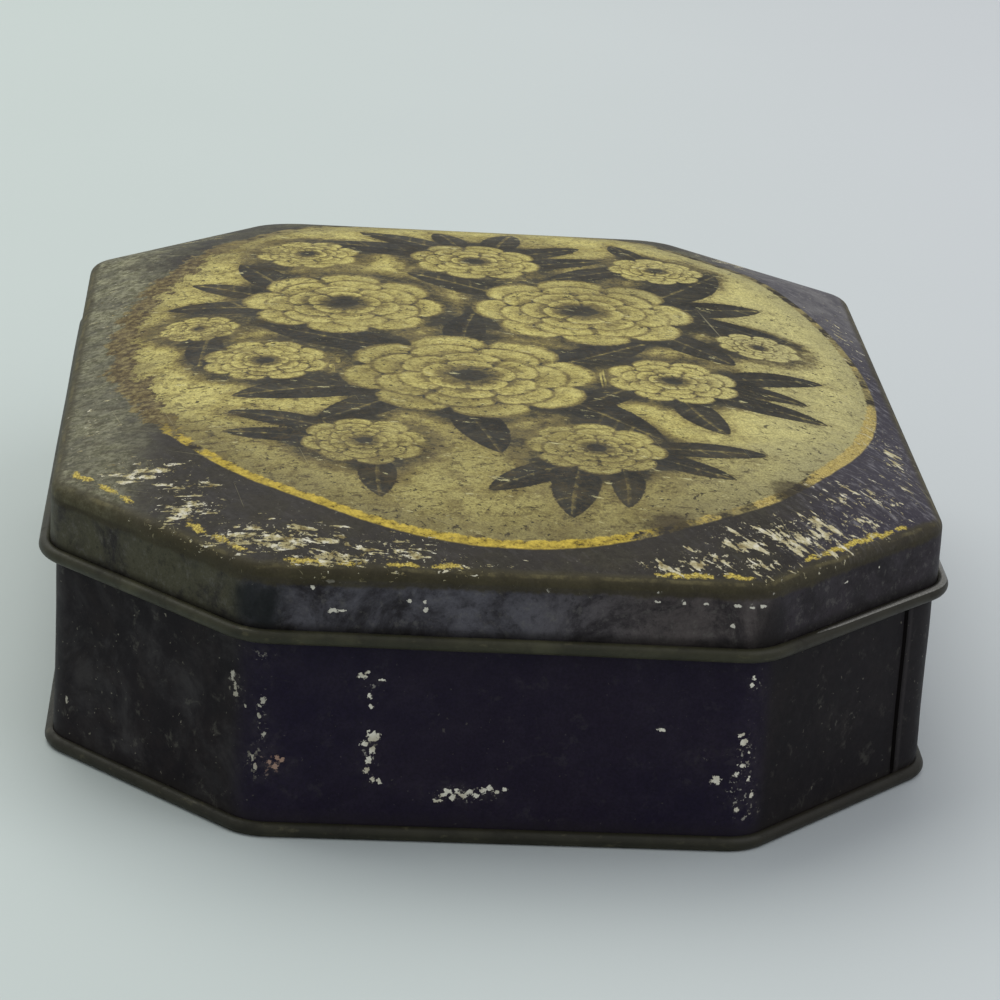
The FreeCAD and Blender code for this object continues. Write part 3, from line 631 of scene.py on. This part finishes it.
    # dark border, browner than the body, smeared grey on the left, right and back
    border = g.ramp(g.hold(cloud * 0.6 + mid * 0.5 - 0.05), [(0.3, tone(33, 29, 27)), (0.55, tone(43, 38, 33)),
                                                            (0.85, tone(60, 54, 43))])
    far_left = g.step(-40.0, -50.0, x + (mid - 0.5) * 8.0)
    far_right = g.step(30.0, 46.0, x + (mid - 0.5) * 10.0)
    back = g.step(0.0, 40.0, y)
    smear = g.step(0.36, 0.66, g.noise(0.2, 6, 0.7, 0.5))
    border = g.blend(g.hold(far_left * (0.42 + 0.30 * smear) + smear * (0.08 + 0.35 * back * (1.0 - far_right))), border,
                     g.blend(g.step(0.38, 0.62, mottle), tone(96, 95, 70), tone(154, 152, 124)))
    border = g.blend(g.step(0.53, 0.60, g.noise(0.5, 6, 0.75)) * far_left * 0.55, border, tone(64, 57, 42))
    border = g.blend(far_right * 0.45, border, tone(64, 60, 80))
    drag = g.step(0.50, 0.66, g.noise(1.0, 6, 0.75, 0.3, g.scaled(0.36, 1.15, 0.4, 50.0)))
    border = g.blend(drag * (0.06 + 0.44 * far_right), border, tone(146, 143, 146))
    border = g.blend(back * far_right * (0.25 + 0.45 * smear), border, g.blend(mottle, tone(104, 102, 102), tone(140, 138, 138)))
    nick = g.step(0.655, 0.69, g.noise(1.4, 4, 0.66))
    border = g.blend(nick * g.hold(0.2 + 0.5 * far_left + 0.4 * far_right), border, tone(176, 171, 148))

    # thin gold line by the shoulder, left only in places
    trace = g.mag(inset - gilt_at + (mid - 0.5) * 1.6)
    bits = g.step(0.52, 0.22, trace + (mottle - 0.5) * 2.4) * g.step(0.45, 0.55, gilt + (blot - 0.5) * 1.0 + (mottle - 0.5) * 1.2)
    border = g.blend(bits, border, g.blend(g.step(0.4, 0.6, grain), tone(206, 186, 92), tone(146, 126, 50)))

    # worn shoulder, with a thin painted highlight along it
    edge = g.step(1.7, 0.9, inset + (mid - 0.5) * 0.9)
    border = g.blend(edge * (1.0 - bits) * 0.75, border, g.blend(mid, tone(42, 38, 26), tone(82, 76, 52)))
    # painted highlight: a thin lighter line along the shoulder's rounded edge
    painted_shoulder_highlight = g.step(0.30, 0.10, g.mag(inset - 0.62 + (mid - 0.5) * 0.5)) * g.step(0.44, 0.62, g.noise(0.3, 5, 0.68))
    border = g.blend(painted_shoulder_highlight * 0.35, border, tone(124, 115, 78))

    top = g.blend(in_ring, border, ring)
    top = g.blend(in_field, top, panel)

    # flaked paint: small ragged cream patches, drawn out along the rubbing, on the border above all
    flow = g.noise(1.0, 5, 0.64, 0.3, g.scaled(0.32, 0.92, 1.0, 8.0))
    flow2 = g.noise(1.0, 5, 0.64, 0.3, g.scaled(0.30, 0.95, 1.0, 44.0))
    right = g.step(6.0, 20.0, x)
    streaks = g.between(right, flow, flow2)
    flake = g.step(0.705, 0.725, streaks + 0.25 * wear)
    crumbs = g.step(0.72, 0.745, g.noise(1.6, 4, 0.66) + 0.18 * wear) * g.step(0.08, 0.4, wear)
    flake = g.hold(flake + crumbs) * (1.0 - 0.85 * in_field)
    cream = g.ramp(g.noise(0.7, 4, 0.66), [(0.35, tone(142, 128, 88)), (0.5, tone(196, 187, 150)),
                                           (0.65, tone(222, 217, 198))])
    dull = g.ramp(g.noise(0.7, 4, 0.66), [(0.36, tone(116, 102, 65)), (0.5, tone(186, 176, 132)),
                                          (0.62, tone(224, 219, 198))])
    cream = g.blend(right, dull, cream)
    flake = flake * g.between(right, g.step(0.36, 0.44, fine), 1.0)
    top = g.blend(flake * 0.95, top, cream)

    # hairline scratches, straight and few
    hair = g.noise(1.0, 2, 0.5, 0.0, g.scaled(0.025, 3.0, 0.4, 27.0))
    hair2 = g.noise(1.0, 2, 0.5, 0.0, g.scaled(3.2, 0.03, 0.4, -12.0))
    scratch = g.hold(g.step(0.735, 0.755, hair) + g.step(0.745, 0.765, hair2))
    top = g.blend(scratch * 0.35, top, tone(176, 168, 130))

    # skirt: the border's dark paint, hazed blue-grey in front, olive on the left, with painted shade at the bends
    haze = g.noise(0.16, 6, 0.7, 0.5)
    speckle = g.noise(0.8, 6, 0.75)
    skirt = g.ramp(g.hold(cloud * 0.5 + mid * 0.5), [(0.3, tone(27, 24, 28)), (0.7, tone(39, 35, 38))])
    flat_front = g.step(-70.5, -72.2, y)
    on_left = g.step(-30.0, -33.0, x)
    on_right = g.step(30.0, 33.0, x)
    skirt = g.blend(g.step(0.32, 0.64, haze) * (0.14 + 0.62 * flat_front), skirt,
                    g.blend(g.step(-2.0, 20.0, x), tone(98, 97, 104), tone(94, 87, 85)))
    skirt = g.blend(g.step(0.30, 0.60, haze) * on_left * 0.7, skirt, tone(84, 82, 60))
    skirt = g.blend(g.step(0.36, 0.66, haze) * on_right * 0.25, skirt, tone(70, 64, 76))
    skirt = g.blend(g.step(0.52, 0.66, speckle) * 0.30, skirt, tone(112, 110, 104))
    skirt = g.blend(g.step(0.46, 0.34, speckle) * 0.45, skirt, tone(24, 22, 24))
    # painted shade: dark ragged patches on the skirt at the front-left and front-right bends
    bend_shade_left = g.step(1.0, 0.35, g.blots([(-29.5, -71.8, 29.5, 4.6, 5.0)], g.shifted(3.5, 0.3, 3.0)))
    skirt = g.blend(bend_shade_left * 0.85, skirt, tone(22, 26, 27))
    bend_shade_right = g.step(1.0, 0.3, g.blots([(31.0, -71.5, 29.0, 3.6, 5.0)], g.shifted(3.5, 0.3, 3.0)))
    skirt = g.blend(bend_shade_right * 0.8, skirt, tone(24, 21, 22))
    marks = g.blots([(-23.2, -72.6, 32.1, .36, .3), (-21.3, -72.6, 33.0, .7, .26), (-20.7, -72.6, 29.3, .75, .24),
                     (-19.6, -72.6, 29.4, .5, .2), (-11.9, -72.6, 30.9, .3, .24), (-9.9, -72.6, 29.8, .3, .34),
                     (-10.0, -72.6, 30.8, .22, .24), (26.3, -72.6, 29.2, .32, .28), (-38.0, -64.2, 30.6, .4, .3),
                     (41.0, -61.6, 31.0, .42, .2), (45.5, -57.0, 31.4, .26, .2),
                     (17.2, -72.6, 31.9, .26, .18), (20.4, -72.6, 31.7, .28, .2), (23.1, -72.6, 31.8, .42, .2),
                     (26.8, -72.6, 31.7, .46, .24), (28.4, -72.5, 31.5, .4, .2), (29.8, -72.3, 31.6, .42, .22)], g.shifted(0.8, 1.4, 3.0))
    bite = (g.noise(2.4, 3, 0.65) - 0.5) * 1.4
    skirt = g.blend(g.step(1.0, 0.75, marks + bite) * 0.9, skirt, CREAM)
    band = g.step(32.1, 32.7, z + (mid - 0.5) * 1.2 + (speckle - 0.5) * 1.4) * 0.8
    skirt = g.blend(band, skirt, g.blend(mid, tone(38, 34, 22), tone(72, 66, 45)))
    spill = g.step(0.635, 0.67, speckle) * g.step(31.6, 32.5, z) * flat_front
    skirt = g.blend(spill * 0.9, skirt, CREAM)
    # darker just above the bead, in the crease where the curl meets the skirt: grime and painted shade
    crease_grime_and_shade = g.step(27.9, 26.8, z + (fine - 0.5) * 0.8)
    skirt = g.blend(crease_grime_and_shade * 0.6, skirt, tone(22, 20, 17))

    is_top = g.step(32.9, 33.4, z)
    colour = g.blend(is_top, skirt, top)
    colour = g.blend(g.step(0.42, 0.62, grain) * 0.16, colour, tone(22, 19, 17))
    rough = g.hold(0.42 + 0.22 * fine + 0.15 * smear + 0.22 * flake - 0.05 * in_field)
    height = 0.010 * fine + 0.03 * mid + 0.02 * mottle - 0.02 * flake - 0.02 * pits + 0.01 * nick - 0.01 * scratch
    g.bsdf.inputs["Specular IOR Level"].default_value = 0.15
    return g.finish(colour, rough, height, g.hold(in_ring - in_field) * kept * (1.0 - ragged) * 0.12)


ENAMEL, TARNISH, INSIDE = enamel_material(), tarnish_material(), inside_material()
PRINT, WIRE = print_material(), wire_material()


# ---------------------------------------------------------------------------
# The lid's panel: blossoms (x, y, radius, turn) with leaves about them
# ---------------------------------------------------------------------------
BLOSSOMS = [(-3, -14, 17.0, 10), (14, 17, 15.5, 50), (-19, 16, 14.0, 85), (24, -12, 9.0, 20), (-29.5, -10, 8.5, 70),
            (0, 40, 9.5, 33), (26, 40, 7.0, 5), (-24, 40, 7.5, 61), (12, -40, 9.0, 44), (-17, -41, 8.0, 12),
            (37.5, 8, 6.0, 27), (-38.5, 5, 5.5, 52)]


def leaf_list():
    """Leaves (base x, y, turn, length, width, sway) that grow out from behind the blossoms."""
    g = np.random.default_rng(41)
    kept = []
    for cx, cy, size, _ in BLOSSOMS:
        for _ in range(40):
            a, lean = g.uniform(0, 360), g.uniform(-28, 28)
            length = g.uniform(0.9, 1.3) * (7.0 + 0.6 * size)
            width, sway = length * g.uniform(0.24, 0.31), g.uniform(-0.16, 0.16)
            base = np.array([cx, cy]) + 0.72 * size * facing(a)
            tip = base + length * facing(a + lean)
            middle = base + 0.55 * length * facing(a + lean)
            if ((tip[0] - 0.8) / 47.0) ** 2 + ((tip[1] - 0.6) / 64.0) ** 2 > 0.96:
                continue
            if any(math.hypot(p[0] - ox, p[1] - oy) < 0.97 * r for ox, oy, r, _ in BLOSSOMS for p in (tip, middle)):
                continue
            if any(math.hypot(*(p - q)) < 5.6 for _, m, t in kept for p in (tip, middle) for q in (m, t)):
                continue
            kept.append(((float(base[0]), float(base[1]), a + lean, length, width, sway), middle, tip))
    return [k[0] for k in kept]


def posy_fields(x, y):
    """For each place its spot in the nearest leaf and blossom, and how far inside them it is."""
    out = {k: np.zeros_like(x) for k in ("lu", "lv", "bx", "by")}
    out["ld"], out["bd"] = np.full_like(x, -30.0), np.full_like(x, -30.0)
    for cx, cy, turn, length, width, sway in leaf_list():
        c, s = facing(turn)
        u = ((x - cx) * c + (y - cy) * s) / length
        v = -(x - cx) * s + (y - cy) * c - sway * length * (u - u * u)
        uc = np.clip(u, 0.0, 1.0)
        d = np.minimum(width * 1.8 * uc ** 0.6 * (1 - uc) ** 0.8 - np.abs(v),
                       np.minimum(u, 1 - u) * length * 0.8)
        nearer = d > out["ld"]
        for key, value in (("ld", d), ("lu", u * length), ("lv", v)):
            out[key] = np.where(nearer, value, out[key])
    for cx, cy, size, turn in BLOSSOMS:
        d = size - np.hypot(x - cx, y - cy)
        c, s = facing(turn)
        nearer = d > out["bd"]
        for key, value in (("bd", d), ("bx", ((x - cx) * c + (y - cy) * s) / size),
                           ("by", (-(x - cx) * s + (y - cy) * c) / size)):
            out[key] = np.where(nearer, value, out[key])
    return out


def flaking(x, y):
    """How badly the lid's paint has come off, 0 to 1."""
    total = np.zeros_like(x)
    for cx, cy, sx, sy, amount in (
            (-43, -48, 7, 4, .75), (-38, -53, 6, 4, .6), (-38, -59, 5, 3.5, .85), (-32, -66, 6, 3.5, .9), (-26, -67, 7, 3.5, 1.0),
            (-19, -70.5, 7, 2.5, .9), (-13, -68.5, 6, 3, .8), (-6, -71, 6, 2.0, .7), (24, -68.5, 6, 2.5, .85),
            (19, -69.5, 5, 2.2, .75), (30, -68, 5, 2.5, .85), (44, -53, 4, 3, .75),
            (28, -64, 5, 3.5, .85), (34, -61, 6, 4, .95), (38, -57, 5, 4, .9), (42, -48, 4, 5, .7), (47, -45, 4, 6, .6),
            (51, -30, 3, 14, .65), (48, -16, 4, 14, .55), (-51, -30, 3, 12, .40), (-50, 20, 3, 18, .35),
            (51, 22, 3, 16, .5), (-40, 58, 7, 7, .5), (40, 58, 8, 8, .7), (0, 70, 22, 2.5, .45)):
        total = np.maximum(total, amount * np.exp(-((x - cx) / sx) ** 2 - ((y - cy) / sy) ** 2))
    return total


def gilding(x, y):
    """Where the thin gold line by the shoulder is left, 0 to 1, and how far in from the edge it runs."""
    total = np.zeros_like(x)
    for cx, cy, r, amount in (
            (-52.3, -46.6, 1.8, 1.0), (-50.6, -47.6, 1.8, .8), (-47.9, -50.7, 2.2, .75), (-45.4, -54.0, 2.0, .7),
            (-36.9, -62.3, 2.4, .8), (-34.2, -65.9, 2.0, .7), (-31.8, -68.1, 2.0, .7), (-24.0, -71.6, 3.0, .9),
            (-19.5, -71.6, 2.0, .6), (-12.5, -71.5, 2.2, .85), (-7.3, -71.4, 2.4, .85), (22.1, -71.0, 2.6, .9),
            (26.9, -70.6, 2.2, .9), (18.5, -71.2, 2.0, .7), (36.6, -63.8, 2.0, .75), (39.4, -61.3, 2.2, .8),
            (47.6, -53.8, 2.0, .8), (42.8, -58.5, 3.0, .9), (45.5, -55.6, 2.4, .8), (49.3, -52.2, 1.8, .8),
            (10, 70.5, 6.0, .55)):
        total = np.maximum(total, amount * np.exp(-((x - cx) ** 2 + (y - cy) ** 2) / (r * r)))
    at = np.interp(x, [-53, -50, -45, -37, -31, -24, 20, 26, 40, 43, 50], [3.0, 3.0, 2.4, 2.3, 1.9, 1.3, 1.6, 1.7, 2.0, 1.9, 1.6])
    return total, np.where(y < 0, at, 2.2)


# ---------------------------------------------------------------------------
# Lid: crown, shoulder, skirt and curled rim from one drawn sheet
# ---------------------------------------------------------------------------
Z_EDGE, RISE, SHOULDER = 34.6, 5.2, 1.6
SLOPE = math.atan(4 * RISE / HALF_W)
SKIRT_OUT = 0.65
BEND_OUT, BEND_UP = SKIRT_OUT - SHOULDER, Z_EDGE - SHOULDER * math.cos(SLOPE)
CROWN_OUT = BEND_OUT + SHOULDER * math.sin(SLOPE)
RIM_OUT, RIM_UP, RIM_R = 1.2, 25.8, 0.85


def build_lid():
    line = Outline(0.76)
    inner_q = 0.48

    def crown_ring(q, under=0.0):
        # the corners get rounder from the shoulder inwards
        bend = BEND + CROWN_OUT + 6.9 * math.sin(min(q / 0.30, 1.0) * math.pi / 2)
        slope = math.atan(math.tan(SLOPE) * (1 - q) ** 3)
        if q <= inner_q:
            plan = line.at(CROWN_OUT - HALF_W * q - under * math.sin(slope), bend)
        else:
            plan = line.at(CROWN_OUT - HALF_W * inner_q, bend) * ((1 - q) / (1 - inner_q))
        return plan, Z_EDGE + RISE * (1 - (1 - q) ** 4) - under * math.cos(slope)

    rings, tags = [], []

    def add(plan, up, tag):
        rings.append(np.column_stack([plan, np.full(line.count, up)]))
        tags.append(tag)

    reach = np.concatenate([np.linspace(0.022, 0.88, 60, endpoint=False), np.linspace(0.88, 1.0, 14)])
    for t in reach:
        add(*crown_ring(1 - t), 0)
    for out, up in arc(BEND_OUT, BEND_UP, SHOULDER, 90 - math.degrees(SLOPE), 0, 8)[1:]:
        add(line.at(out), up, 0)
    for up in np.linspace(BEND_UP, RIM_UP, 13)[1:]:
        add(line.at(SKIRT_OUT), up, 0)
    tags[-1] = 1
    for out, up in arc(RIM_OUT, RIM_UP, RIM_R - SHEET, 180, 482, 11)[1:]:
        add(line.at(out), up, 1)
    for out, up in arc(RIM_OUT, RIM_UP, RIM_R, 482, 180, 26):
        add(line.at(out), up, 1)
    for up in np.linspace(RIM_UP, BEND_UP, 5)[1:]:
        add(line.at(SKIRT_OUT - SHEET), up, 2)
    for out, up in arc(BEND_OUT, BEND_UP, SHOULDER - SHEET, 0, 90 - math.degrees(SLOPE), 5)[1:]:
        add(line.at(out), up, 2)
    for t in np.linspace(1.0, 0.03, 22)[1:]:
        add(*crown_ring(1 - t, SHEET), 2)
    rings = np.array(rings)
    x, y, z = rings[..., 0].copy(), rings[..., 1].copy(), rings[..., 2].copy()
    deep = np.clip(inset_of(x, y, SKIRT_OUT), 0, None)

    # knocks and unevenness of an old lid, the same on both faces of the sheet
    dent = 0.05 * waves(x, y, 0 * x, 11, 38.0) * step01(2.0, 10.0, deep)
    for cx, cy, r, depth in ((24, -36, 11, .30), (-33, 22, 9, .24), (10, 44, 12, .22), (-8, -52, 8, .18), (38, 16, 8, .2)):
        dent -= depth * np.exp(-((x - cx) ** 2 + (y - cy) ** 2) / (r * r)) * step01(0.5, 6.0, deep)
    bend = 0.05 * waves(x, y, 0 * z, 12, 30.0) * step01(33.5, 31.0, z)
    rim = 0.07 * waves(x, y, 0 * z, 13, 26.0) * step01(29.0, 26.0, z)
    rings[..., 0] += line.normal[None, :, 0] * bend
    rings[..., 1] += line.normal[None, :, 1] * bend
    # it sits a little lower on the right, and pushed to the left
    rings[..., 2] += dent + rim - 0.0065 * x
    rings[..., 0] -= 0.15
    pole_dent = dent[0].mean()
    fields = {"inset": inset_of(x, y, SKIRT_OUT), "wear": flaking(x, y)}
    fields["gilt"], fields["gilt_at"] = gilding(x, y)
    fields.update(posy_fields(x, y))
    ob = ring_mesh("lid_shell_worn", rings, tags, [PRINT, TARNISH, INSIDE],
                   first_pole=(0, 0, Z_EDGE + RISE + pole_dent), last_pole=(0, 0, Z_EDGE + RISE - SHEET + pole_dent),
                   fields=fields)
    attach(ob, "lid")
    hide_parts("lid_shell")
    return ob


# ---------------------------------------------------------------------------
# Body: a strip bent round and lapped at the side seam
# ---------------------------------------------------------------------------
def build_wall():
    # fine stations at the seam, at the right-hand end of the front right cut corner
    seam_side = 7
    cut = BEND * math.tan(math.radians(22.5))
    seam, length = 28.92 - cut, LEG * math.sqrt(2.0) - 2 * cut
    more = [(0, 7, (seam + d) / length) for d in (-0.7, -0.3, -0.16, -0.08, 0.0, 0.06, 0.14, 0.3, 0.7)]
    line = Outline(0.62, more)
    pick = (line.kind == 0) & (line.index == seam_side)
    start = line.run[pick].min()
    along = line.run - (start + seam)
    step = np.interp(along, [-9.0, -0.3, -0.12, -0.04, 0.04, 0.14, 2.6, 9.0],
                     [0.0, 0.0, -0.16, -0.2, -0.2, 0.26, 0.26, 0.0])
    rings, tags, lifts = [], [], []

    def add(out, up, tag, lift=0.0):
        rings.append(np.column_stack([line.at(out), np.full(line.count, up)]))
        tags.append(tag)
        lifts.append(lift)

    for out, up in arc(-0.6, 32.6, 0.6, 262, 0, 15):
        add(out, up, 1)
    for up in np.linspace(32.2, 1.4, 52):
        add(0.0, up, 0, float(step01(1.4, 2.6, up) * step01(32.2, 31.0, up)))
    for out, up in ((0.0, 1.1), (0.45, 1.1), (0.45, 0.8), (-0.3, 0.8)):
        add(out, up, 1)
    for up in np.linspace(1.2, 32.5, 14):
        add(-0.3, up, 1)
    for out, up in arc(-0.6, 32.6, 0.3, 0, 262, 9):
        add(out, up, 1)
    rings, lifts = np.array(rings), np.array(lifts)
    x, y, z = rings[..., 0].copy(), rings[..., 1].copy(), rings[..., 2].copy()
    bow = (0.13 * waves(x, y, z, 21, 44.0) + 0.05 * waves(x, y, z, 22, 16.0)) * step01(2.0, 9.0, z) * step01(24.5, 18.0, z)
    for cx, cy, cz, r, depth in ((-8, -72, 15, 7, .2), (44, -60, 12, 6, .2), (-55, -18, 13, 9, .3), (55, 20, 14, 10, .3),
                                 (-20, 72, 12, 8, .25)):
        bow -= depth * np.exp(-((x - cx) ** 2 + (y - cy) ** 2 + (z - cz) ** 2) / (r * r))
    move = bow + lifts[:, None] * step[None, :] * np.where(z > 24.0, 0.6, 1.0)
    rings[..., 0] += line.normal[None, :, 0] * move
    rings[..., 1] += line.normal[None, :, 1] * move
    zone = np.zeros_like(x)
    for cx, cz, wide, tall, amount in ((-28.5, 9.5, 2.2, 2.6, 1.0), (-27.0, 9.4, 1.8, 1.6, 1.0), (-28.6, 14.5, 1.2, 3.0, .8),
                                       (-15.6, 11.0, 1.5, 3.6, .75), (-15.8, 19.5, 1.6, 2.2, .6), (-4.0, 6.2, 5.0, 1.3, .9),
                                       (29.2, 12.0, 1.5, 3.6, .9), (29.0, 7.5, 2.2, 2.6, 1.0), (29.8, 4.8, 2.2, 1.4, .9),
                                       (29.6, 21.5, 1.2, 1.6, .8), (-32.0, 18.5, 1.3, 2.2, .8), (24.0, 12.0, 3.0, 2.0, .45),
                                       (43.0, 12.0, 4.0, 3.0, .45), (-28.5, 23.0, 2.4, 1.4, .7)):
        zone = np.maximum(zone, amount * np.exp(-((x - cx) / wide) ** 2 - ((z - cz) / tall) ** 2) * (y < -40))
    fields = {"seam": np.broadcast_to(np.clip(along, -5, 5), x.shape).copy(), "zone": zone}
    ob = ring_mesh("body_wall_worn", rings, tags, [ENAMEL, INSIDE], loop=True, fields=fields, sharp=38.0)
    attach(ob, "tin")
    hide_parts("body_wall")
    return ob


# ---------------------------------------------------------------------------
# Bottom: a panel with its edge curled up over the body's flange
# ---------------------------------------------------------------------------
def build_bottom():
    line = Outline(1.0)
    rings, tags = [], []

    def add(plan, up, tag):
        rings.append(np.column_stack([plan, np.full(line.count, up)]))
        tags.append(tag)

    for k in np.linspace(0.06, 1.0, 18):
        add(line.at(-0.46) * k, 0.8, 1)
    for out, up in arc(0.15, 0.86, 0.6, 188, 455, 14)[1:]:
        add(line.at(out), up, 0)
    for out, up in arc(0.15, 0.86, 0.9, 455, 214, 30):
        add(line.at(out), max(up, 0.0), 0)
    add(line.at(-1.1), 0.43, 0)
    add(line.at(-1.6), 0.5, 0)
    for k in np.linspace(1.0, 0.05, 26):
        add(line.at(-2.2) * k, 0.5, 0)
    rings = np.array(rings)
    x, y, z = rings[..., 0].copy(), rings[..., 1].copy(), rings[..., 2].copy()
    deep = inset_of(x, y, 0.0)
    rings[..., 2] += (0.06 + 0.07 * waves(x, y, 0 * x, 31, 40.0)) * step01(2.0, 12.0, deep)
    up = float((0.06 + 0.07 * waves(np.zeros(1), np.zeros(1), np.zeros(1), 31, 40.0))[0])
    ob = ring_mesh("bottom_plate_worn", rings, tags, [TARNISH, INSIDE], first_pole=(0, 0, 0.8 + up),
                   last_pole=(0, 0, 0.5 + up))
    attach(ob, "tin")
    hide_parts("bottom_plate")
    return ob


build_lid()
build_wall()
build_bottom()

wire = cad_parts["lid_rim_wire"]
wire.data.materials.clear()
wire.data.materials.append(WIRE)

# ---------------------------------------------------------------------------
# Floor, light and camera
# ---------------------------------------------------------------------------
def build_floor():
    g = Graph("floor_paper")
    cloud = g.noise(0.004, 3, 0.5)
    fibre = g.noise(1.4, 3, 0.6)
    base = g.blend(g.hold(cloud * 1.4 - 0.2), g.blend(g.step(-90.0, 150.0, g.x), tone(189, 199, 196), tone(192, 196, 200)),
                   g.blend(g.step(-90.0, 150.0, g.x), tone(195, 205, 202), tone(198, 202, 206)))
    specks = g.specks(0.045, 0.05, 0.03)
    base = g.blend(specks * 0.5, base, tone(120, 116, 110))
    mat = g.finish(base, g.hold(0.55 + 0.1 * fibre), 0.01 * fibre)
    me = bpy.data.meshes.new("floor")
    s = 3.0
    me.from_pydata([(-s, -s, 0), (s, -s, 0), (s, s, 0), (-s, s, 0)], [], [(0, 1, 2, 3)])
    me.materials.append(mat)
    ob = bpy.data.objects.new("floor", me)
    bpy.context.scene.collection.objects.link(ob)


def area_light(name, at, look, size, watts, colour):
    data = bpy.data.lights.new(name, "AREA")
    data.shape, data.size, data.size_y = "RECTANGLE", size[0], size[1]
    data.energy, data.color = watts, colour
    ob = bpy.data.objects.new(name, data)
    bpy.context.scene.collection.objects.link(ob)
    z = np.array(at, float) - np.array(look, float)
    z /= np.linalg.norm(z)
    x = np.cross((0, 1, 0) if abs(z[2]) > 0.98 else (0, 0, 1), z)
    x /= np.linalg.norm(x)
    y = np.cross(z, x)
    m = np.eye(4)
    m[:3, 0], m[:3, 1], m[:3, 2], m[:3, 3] = x, y, z, at
    ob.matrix_world = Matrix(m.tolist())


build_floor()
world = bpy.data.worlds.new("studio")
bpy.context.scene.world = world
world.use_nodes = True
back = next(n for n in world.node_tree.nodes if n.type == "BACKGROUND")
back.inputs["Color"].default_value = (0.94, 0.97, 1.0, 1.0)
back.inputs["Strength"].default_value = 0.5
area_light("key", (-0.30, 0.46, 1.0), (0, 0.1, 0), (1.2, 0.9), 8.0, (1.0, 0.995, 0.94))
area_light("fill", (0.7, -0.35, 0.9), (0.1, 0, 0), (0.9, 0.9), 3.2, (0.95, 0.94, 1.0))


def camera():
    """Placed from the vanishing lines of the tin: focal length in pixels of a 1000-pixel frame."""
    focal, pitch, yaw, roll = 3908.5, math.radians(19.745), math.radians(3.753), math.radians(3.399)
    at = np.array([-29.879, -498.115, 196.863]) * MM
    ahead = np.array([math.sin(yaw) * math.cos(pitch), math.cos(yaw) * math.cos(pitch), -math.sin(pitch)])
    right = np.array([math.cos(yaw), -math.sin(yaw), 0.0])
    up = np.cross(right, ahead)
    across = right * math.cos(roll) + up * math.sin(roll)
    over = up * math.cos(roll) - right * math.sin(roll)
    data = bpy.data.cameras.new("camera")
    data.sensor_fit, data.sensor_width, data.sensor_height = "HORIZONTAL", 36.0, 36.0
    data.lens = 36.0 * focal / 1000.0
    data.clip_start, data.clip_end = 0.02, 20.0
    ob = bpy.data.objects.new("camera", data)
    m = np.eye(4)
    m[:3, 0], m[:3, 1], m[:3, 2], m[:3, 3] = across, over, -ahead, at
    ob.matrix_world = Matrix(m.tolist())
    bpy.context.scene.collection.objects.link(ob)
    bpy.context.scene.camera = ob


camera()
view = bpy.context.scene.view_settings
view.view_transform, view.look, view.exposure, view.gamma = "Standard", "None", 0.0, 1.0

bpy.context.view_layer.update()
